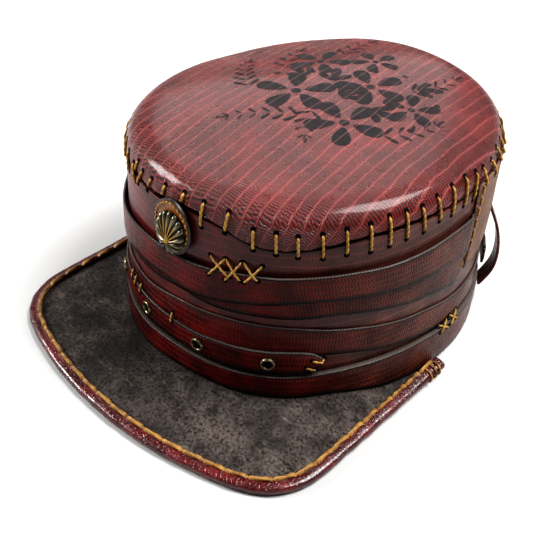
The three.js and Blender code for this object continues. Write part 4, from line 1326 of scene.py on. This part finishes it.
class KEPI_OT_concho(bpy.types.Operator):
    """Builds the front patch and the scalloped concho with its rays"""

    bl_idname = "kepi.concho"
    bl_label = "Patch and concho"

    def execute(self, context):
        settings = context.scene.kepi
        crown = settings.crown
        patch = dressed("concho_patch", 2, 0.3 * MM)
        co = vertices_of(patch)
        low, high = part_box("concho_patch")
        middle, half = (low + high) / 2, (high - low) / 2
        across = np.hypot((co[:, 0] - middle.x) / half.x, (co[:, 2] - middle.z) / half.z)
        write_value(patch, "rim", np.clip((across - 0.8) / 0.12, 0, 1))
        look("concho_patch", patch, "saddle_patch_leather")

        low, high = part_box("concho")
        deg, _, up = (float(v[0]) for v in cap_coordinates(crown, [tuple((low + high) / 2)]))
        place, _ = side_hit(tree_of([frame["nodes"]["concho_patch"]]), crown, deg, up)
        outward = (cap_point(crown, deg, 0.02, up) - cap_point(crown, deg, 0, up)).normalized()
        sideways = Vector((0, 0, 1)).cross(outward).normalized()
        axes = sideways, outward.cross(sideways), outward
        concho = self.concho_mesh(settings.metal, place + outward * 0.4 * MM, axes)
        look("concho", concho, "nickel_silver")
        self.sew_patch(settings, middle, half, sideways, outward)
        return {"FINISHED"}

    def concho_mesh(self, metal, base, axes):
        """Oval dome with scallops at its rim, and rays that run out from a low hub."""
        sideways, upward, outward = axes
        turns, rings = 256, 26
        points, hollow, gilt = [], [], []
        for i in range(turns):
            angle = 2 * math.pi * i / turns
            lobe = abs(math.cos(metal.concho_lobes * angle / 2))
            ray = lobe**1.5
            rim = 0.93 + 0.07 * lobe
            for j in range(rings + 1):
                share = j / rings
                x = metal.concho_half_width * rim * share * math.cos(angle)
                y = metal.concho_half_height * (rim * share * math.sin(angle) - metal.hub_drop * (1 - share))
                dome = math.sqrt(max(0.0, 1 - share**2.2))
                rise = metal.concho_rise * (0.25 + 0.75 * dome) * (1 if share < 0.97 else 0.6)
                on_hub = share <= metal.hub_share
                if on_hub:
                    rise += 0.6 * MM * (1 - share / metal.hub_share)
                else:
                    rise -= metal.ray_depth * (1 - ray) * min(1, (share - metal.hub_share) * 5)
                points.append(base + sideways * x + upward * y + outward * rise)
                hollow.append((1 - ray) * min(1, share * 6) * 0.9)
                lit = ray**3 * (0.5 + 0.5 * math.sin(angle))
                gilt.append(min(1, 1.7 * (1 - share)) * lit + (0.6 if on_hub else 0))
            x = metal.concho_half_width * rim * math.cos(angle)
            y = metal.concho_half_height * rim * math.sin(angle)
            points.append(base + sideways * x + upward * y)
            hollow.append(0.6)
            gilt.append(0)
        row = rings + 2
        faces = []
        for i in range(turns):
            k = (i + 1) % turns
            for j in range(row - 1):
                faces.append((i * row + j, k * row + j, k * row + j + 1, i * row + j + 1))
        faces.append(tuple(i * row + row - 1 for i in range(turns)))
        return closed_mesh("concho_look", points, faces, {"hollow": hollow, "gilt": gilt}, merge=True)

    def sew_patch(self, settings, middle, half, sideways, outward):
        """Fine stitches along the patch's edge."""
        fine, count, parts = settings.thread.fine, settings.thread.patch_count, 6
        surface = tree_of_looks("concho_patch")

        def patch_hit(spot):
            place, normal, _, _ = surface.ray_cast(spot + outward * 0.03, -outward, 0.06)
            return place, normal

        outline = []
        for i in range(count * parts):
            turn = 2 * math.pi * i / (count * parts)
            direction = sideways * math.cos(turn) * half.x + Vector((0, 0, 1)) * math.sin(turn) * half.z
            reach = border(0.0, 1.2, lambda share: patch_hit(middle + direction * share)[0], 10)
            outline.append(patch_hit(middle + direction * reach * 0.86))
        paths = []
        for i in range(count):
            hits = [outline[(i * parts + k) % len(outline)] for k in range(parts - 1)]
            path = [place + normal * fine * 0.4 for place, normal in hits]
            path[0] -= outward * fine
            path[-1] -= outward * fine
            paths.append(path)
        threads("patch_stitches", paths, fine, settings.thread.lay)


class KEPI_OT_stitches(bpy.types.Operator):
    """Sews the crown, the straps and the binding with waxed thread"""

    bl_idname = "kepi.stitches"
    bl_label = "Stitches"

    def execute(self, context):
        settings = context.scene.kepi
        crown, thread = settings.crown, settings.thread
        side = tree_of_looks("crown_wall", "crown_top", "upper_band", "rear_panel")
        beyond = thread.hole * 0.5
        paths, spots = [], []
        for row in whip_rows(crown, thread):
            head = (row["deg"], row["head"] * crown.height)
            foot = (row["deg"] + row["ahead"], row["foot"] * crown.height)
            paths.append(side_thread(side, crown, head, foot, thread.diameter / 2))
            spots.append(side_hit(side, crown, head[0], head[1] + beyond))
            spots.append(side_hit(side, crown, foot[0], foot[1] - beyond))
        threads("whip_stitches", [path for path in paths if path], thread.diameter, thread.lay)

        bands = ("upper_band", "second_band", "middle_band", "eyelet_strap", "lower_band")
        straps = tree_of_looks("crown_wall", *bands, "rear_panel")
        paths = []
        for row in CROSS_ROWS:
            start = (row["deg"], row["up"] * crown.height)
            end = (row["to_deg"], row["to_up"] * crown.height)
            paths.append(side_thread(straps, crown, start, end, thread.cross / 2))
            spots.extend(side_hit(straps, crown, *spot) for spot in (start, end))
        for k in range(PANEL_SEAM["count"]):
            deg = PANEL_SEAM["deg"] + k * PANEL_SEAM["deg_step"]
            up = PANEL_SEAM["up"] + k * PANEL_SEAM["up_step"]
            start = (deg, up * crown.height)
            end = (deg + PANEL_SEAM["slant"], (up + PANEL_SEAM["drop"]) * crown.height)
            paths.append(side_thread(straps, crown, start, end, thread.cross / 2))
        threads("strap_stitches", [path for path in paths if path], thread.cross, thread.lay)
        # Dark lenses at the stitch holes: painted shade where the thread goes in.
        holes("stitch_holes", [hit for hit in spots if hit[0]], thread.hole)
        self.sew_binding(thread)
        return {"FINISHED"}

    def sew_binding(self, thread):
        """Long stitches along the binding, and turns of thread round its left end."""
        line, inward = binding_line(thread)
        run = np.concatenate(([0], np.cumsum(np.linalg.norm(np.diff(line, axis=0), axis=1))))
        surface = tree_of_looks("peak_binding", "peak")

        def along(values, distance):
            return np.array([np.interp(distance, run, values[:, axis]) for axis in (0, 1)])

        pitch = thread.binding_stitch + thread.binding_gap
        count = int(run[-1] / pitch)
        sunk = Vector((0, 0, thread.diameter * 0.8))
        paths = []
        for k in range(count):
            start = (run[-1] - count * pitch) / 2 + k * pitch
            distances = start + np.linspace(0, thread.binding_stitch, 9)
            hits = [top_hit(surface, *along(line, distance)) for distance in distances]
            path = [place + normal * thread.diameter * 0.36 for place, normal in hits if place]
            if len(path) == len(hits):
                path[0] -= sunk
                path[-1] -= sunk
                paths.append(path)
        threads("binding_stitches", paths, thread.heavy, thread.heavy_lay, "brown_waxed_thread")

        upward = Vector((0, 0, 1))
        rise = upward * thread.wrap_half_height
        paths = []
        for from_end in WRAPS:
            side = Vector((*along(inward, run[-1] - from_end), 0)).normalized()
            spot = along(line, run[-1] - from_end) - np.array(side.xy) * thread.wrap_inset
            middle = top_hit(surface, *spot)[0] - upward * thread.wrap_depth
            lean = side.cross(upward) * thread.wrap_lean
            loop = []
            for turn in np.linspace(0, 2 * math.pi, 25):
                reach = side * thread.wrap_half_width * math.cos(turn)
                loop.append(middle + reach + rise * math.sin(turn) + lean * math.cos(turn / 2))
            paths.append(loop)
        threads("binding_wraps", paths, thread.cross, thread.lay, "brown_waxed_thread")


# The printed spray, in millimetres and radians on the crown's plan.
# Blossoms: place, size and turn.
BLOSSOMS = (
    (24, -8, 20, 0.3),
    (-14, -2, 21, 1.0),
    (10, 30, 19, 0.1),
    (-30, 36, 16, 0.6),
    (38, 28, 15, 0.9),
    (-8, 56, 13, 0.2),
)
# Fronds: place, heading, length, pairs of leaves and bend.
FRONDS = (
    (44, -2, 0.9, 30, 5, 0.6),
    (-36, -14, 2.6, 34, 6, -0.5),
    (4, -20, -2.6, 34, 6, 0.5),
    (-40, 18, 2.2, 26, 4, -0.4),
    (26, 44, 1.1, 30, 5, 0.5),
    (6, -12, -1.2, 22, 4, 0.4),
    (-28, 54, 1.9, 24, 4, -0.5),
)
# Groups of three leaves: place, heading and length of the middle leaf.
LEAVES = (
    (5, 10, 1.3, 17),
    (-8, 20, 2.1, 16),
    (24, 12, 0.2, 17),
    (-22, 16, 2.9, 15),
    (26, 48, 0.7, 14),
)
# Berries: place and radius.
BERRIES = (
    (2, 17, 2.2),
    (8, 11, 1.7),
    (-24, 22, 1.9),
    (-48, 26, 1.6),
    (50, 12, 1.7),
    (44, 42, 1.5),
    (0, 46, 2.0),
    (14, 54, 1.5),
    (-36, 8, 1.8),
    (14, -24, 1.8),
)


def ahead_of(x, y, heading, distance):
    return x + distance * math.cos(heading), y + distance * math.sin(heading)


def petal(x, y, heading, long, wide):
    """Outline and centre of a petal or leaf that starts near a place."""
    outline = []
    for turn in np.linspace(0, 2 * math.pi, 20, endpoint=False):
        along = long / 2 * (1 - math.cos(turn)) + 0.6
        side = -wide / 2 * math.sin(turn) * (0.35 + 0.65 * along / long)
        outline.append(ahead_of(*ahead_of(x, y, heading, along), heading + math.pi / 2, side))
    return outline, ahead_of(x, y, heading, long / 2)


def disc(x, y, radius):
    turns = np.linspace(0, 2 * math.pi, 14, endpoint=False)
    return [ahead_of(x, y, turn, radius) for turn in turns], (x, y)


def blossom(x, y, size, turn):
    headings = [turn + k * 2 * math.pi / 5 for k in range(5)]
    petals = [petal(*ahead_of(x, y, h, size * 0.2), h, size * 0.8, size * 0.62) for h in headings]
    return petals + [disc(x, y, size * 0.13)]


def frond(x, y, heading, long, pairs, bend):
    motifs = []
    for k in range(pairs):
        share = k / (pairs - 1)
        stem = ahead_of(x, y, heading + bend * share / 2, long * share)
        size = 8.5 * (1 - 0.55 * share)
        for side in (-0.85, 0.85):
            motifs.append(petal(*stem, heading + bend * share + side, size, size * 0.34))
    tip = ahead_of(x, y, heading + bend / 2, long)
    return motifs + [petal(*tip, heading + bend, 6.5, 2.6)]


def three_leaves(x, y, heading, long):
    sides = [petal(x, y, heading + turn, long * 0.75, long * 0.34) for turn in (0.75, -0.75)]
    return [petal(x, y, heading, long, long * 0.46)] + sides


class KEPI_OT_print(bpy.types.Operator):
    """Prints a plain spray of blossoms, leaves, fronds and berries on the crown's top"""

    bl_idname = "kepi.print"
    bl_label = "Printed spray"

    def execute(self, context):
        crown = context.scene.kepi.crown
        turn, origin = crown_frame(crown)
        tree = tree_of_looks("crown_top")
        motifs = [disc(*row) for row in BERRIES]
        for maker, rows in ((blossom, BLOSSOMS), (frond, FRONDS), (three_leaves, LEAVES)):
            for row in rows:
                motifs.extend(maker(*row))
        points, faces = [], []
        for outline, centre in motifs:
            hits = []
            for x, y in [centre, *outline]:
                spot = turn @ Vector((x * MM, y * MM, crown.height)) + origin
                hits.append(top_hit(tree, spot.x, spot.y))
            start, n = len(points), len(hits)
            points.extend(place + normal * 0.12 * MM for place, normal in hits)
            points.extend(place - normal * 0.4 * MM for place, normal in hits)
            for i in range(1, n):
                k = i % (n - 1) + 1
                faces.append((start, start + i, start + k))
                faces.append((start + n, start + n + k, start + n + i))
                faces.append((start + i, start + n + i, start + n + k, start + k))
        mesh = bpy.data.meshes.new("crown_print")
        mesh.from_pydata([tuple(p) for p in points], [], faces)
        write_map(mesh, local_points(crown, vertices_of(mesh))[:, :2])
        piece("crown_print", mesh, material_of("printed_ink"))
        return {"FINISHED"}


class KEPI_OT_stage(bpy.types.Operator):
    """Sets the floor, the soft studio lights and the camera"""

    bl_idname = "kepi.stage"
    bl_label = "Stage"

    def execute(self, context):
        scene = context.scene
        stage, crown = scene.kepi.stage, scene.kepi.crown
        mesh = bpy.data.meshes.new("floor")
        mesh.from_pydata([(-4, -4, 0), (4, -4, 0), (4, 4, 0), (-4, 4, 0)], [], [(0, 1, 2, 3)])
        floor = bpy.data.objects.new("floor", mesh)
        scene.collection.objects.link(floor)
        mesh.materials.append(backdrop_paper(stage.floor))

        az, el, roll = stage.azimuth, stage.elevation, stage.roll
        back = Vector((math.sin(az) * math.cos(el), -math.cos(az) * math.cos(el), math.sin(el)))
        right = Vector((math.cos(az), math.sin(az), 0))
        up = back.cross(right)
        rolled_right = right * math.cos(roll) + up * math.sin(roll)
        rolled_up = up * math.cos(roll) - right * math.sin(roll)
        turn, origin = crown_frame(crown)
        shift = right * stage.shift_right + Vector((0, 0, stage.shift_up))
        place = turn @ (back * stage.distance + shift) + origin
        axes = Matrix((rolled_right, rolled_up, back)).transposed()
        camera = bpy.data.objects.new("camera", bpy.data.cameras.new("camera"))
        camera.data.lens = stage.lens
        camera.data.sensor_width = 36
        camera.data.clip_start = 0.01
        camera.matrix_world = Matrix.Translation(place) @ (turn @ axes).to_4x4()
        scene.collection.objects.link(camera)
        scene.camera = camera

        target = Vector((0, 0, 0.06))
        for name, power, where, size in (
            ("key", stage.key, (0.55, 0.45, 1.25), 0.7),
            ("rear", stage.rear, (-0.75, 0.85, 0.8), 0.8),
            ("fill", stage.fill, (-1.0, -0.7, 0.75), 0.5),
        ):
            lamp = bpy.data.lights.new(name, "AREA")
            lamp.energy = power
            lamp.size = size
            light = bpy.data.objects.new(name, lamp)
            light.location = where
            light.rotation_euler = (Vector(where) - target).to_track_quat("Z", "Y").to_euler()
            scene.collection.objects.link(light)
        world = bpy.data.worlds.new("studio")
        world.use_nodes = True
        world.node_tree.nodes["Background"].inputs["Color"].default_value = (1, 1, 1, 1)
        world.node_tree.nodes["Background"].inputs["Strength"].default_value = stage.sky
        scene.world = world
        scene.view_settings.view_transform = "Standard"
        scene.view_settings.look = "High Contrast"
        return {"FINISHED"}


class KEPI_PT_panel(bpy.types.Panel):
    bl_label = "Leather kepi cap"
    bl_idname = "KEPI_PT_panel"
    bl_space_type = "VIEW_3D"
    bl_region_type = "UI"
    bl_category = "Kepi"

    def draw(self, context):
        for operator in OPERATORS:
            self.layout.operator(operator.bl_idname)


GROUPS = (KepiCrown, KepiStraps, KepiThread, KepiMetal, KepiStage, KepiSettings)
OPERATORS = (
    KEPI_OT_crown,
    KEPI_OT_straps,
    KEPI_OT_peak,
    KEPI_OT_eyelets,
    KEPI_OT_concho,
    KEPI_OT_stitches,
    KEPI_OT_print,
    KEPI_OT_stage,
)


def register():
    for cls in (*GROUPS, *OPERATORS, KEPI_PT_panel):
        bpy.utils.register_class(cls)
    bpy.types.Scene.kepi = PointerProperty(type=KepiSettings)


def unregister():
    del bpy.types.Scene.kepi
    for cls in reversed((*GROUPS, *OPERATORS, KEPI_PT_panel)):
        bpy.utils.unregister_class(cls)


def main():
    register()
    bpy.ops.kepi.crown()
    bpy.ops.kepi.straps()
    bpy.ops.kepi.peak()
    bpy.ops.kepi.eyelets()
    bpy.ops.kepi.concho()
    bpy.ops.kepi.stitches()
    bpy.ops.kepi.print()
    bpy.ops.kepi.stage()


if __name__ == "__main__":
    main()
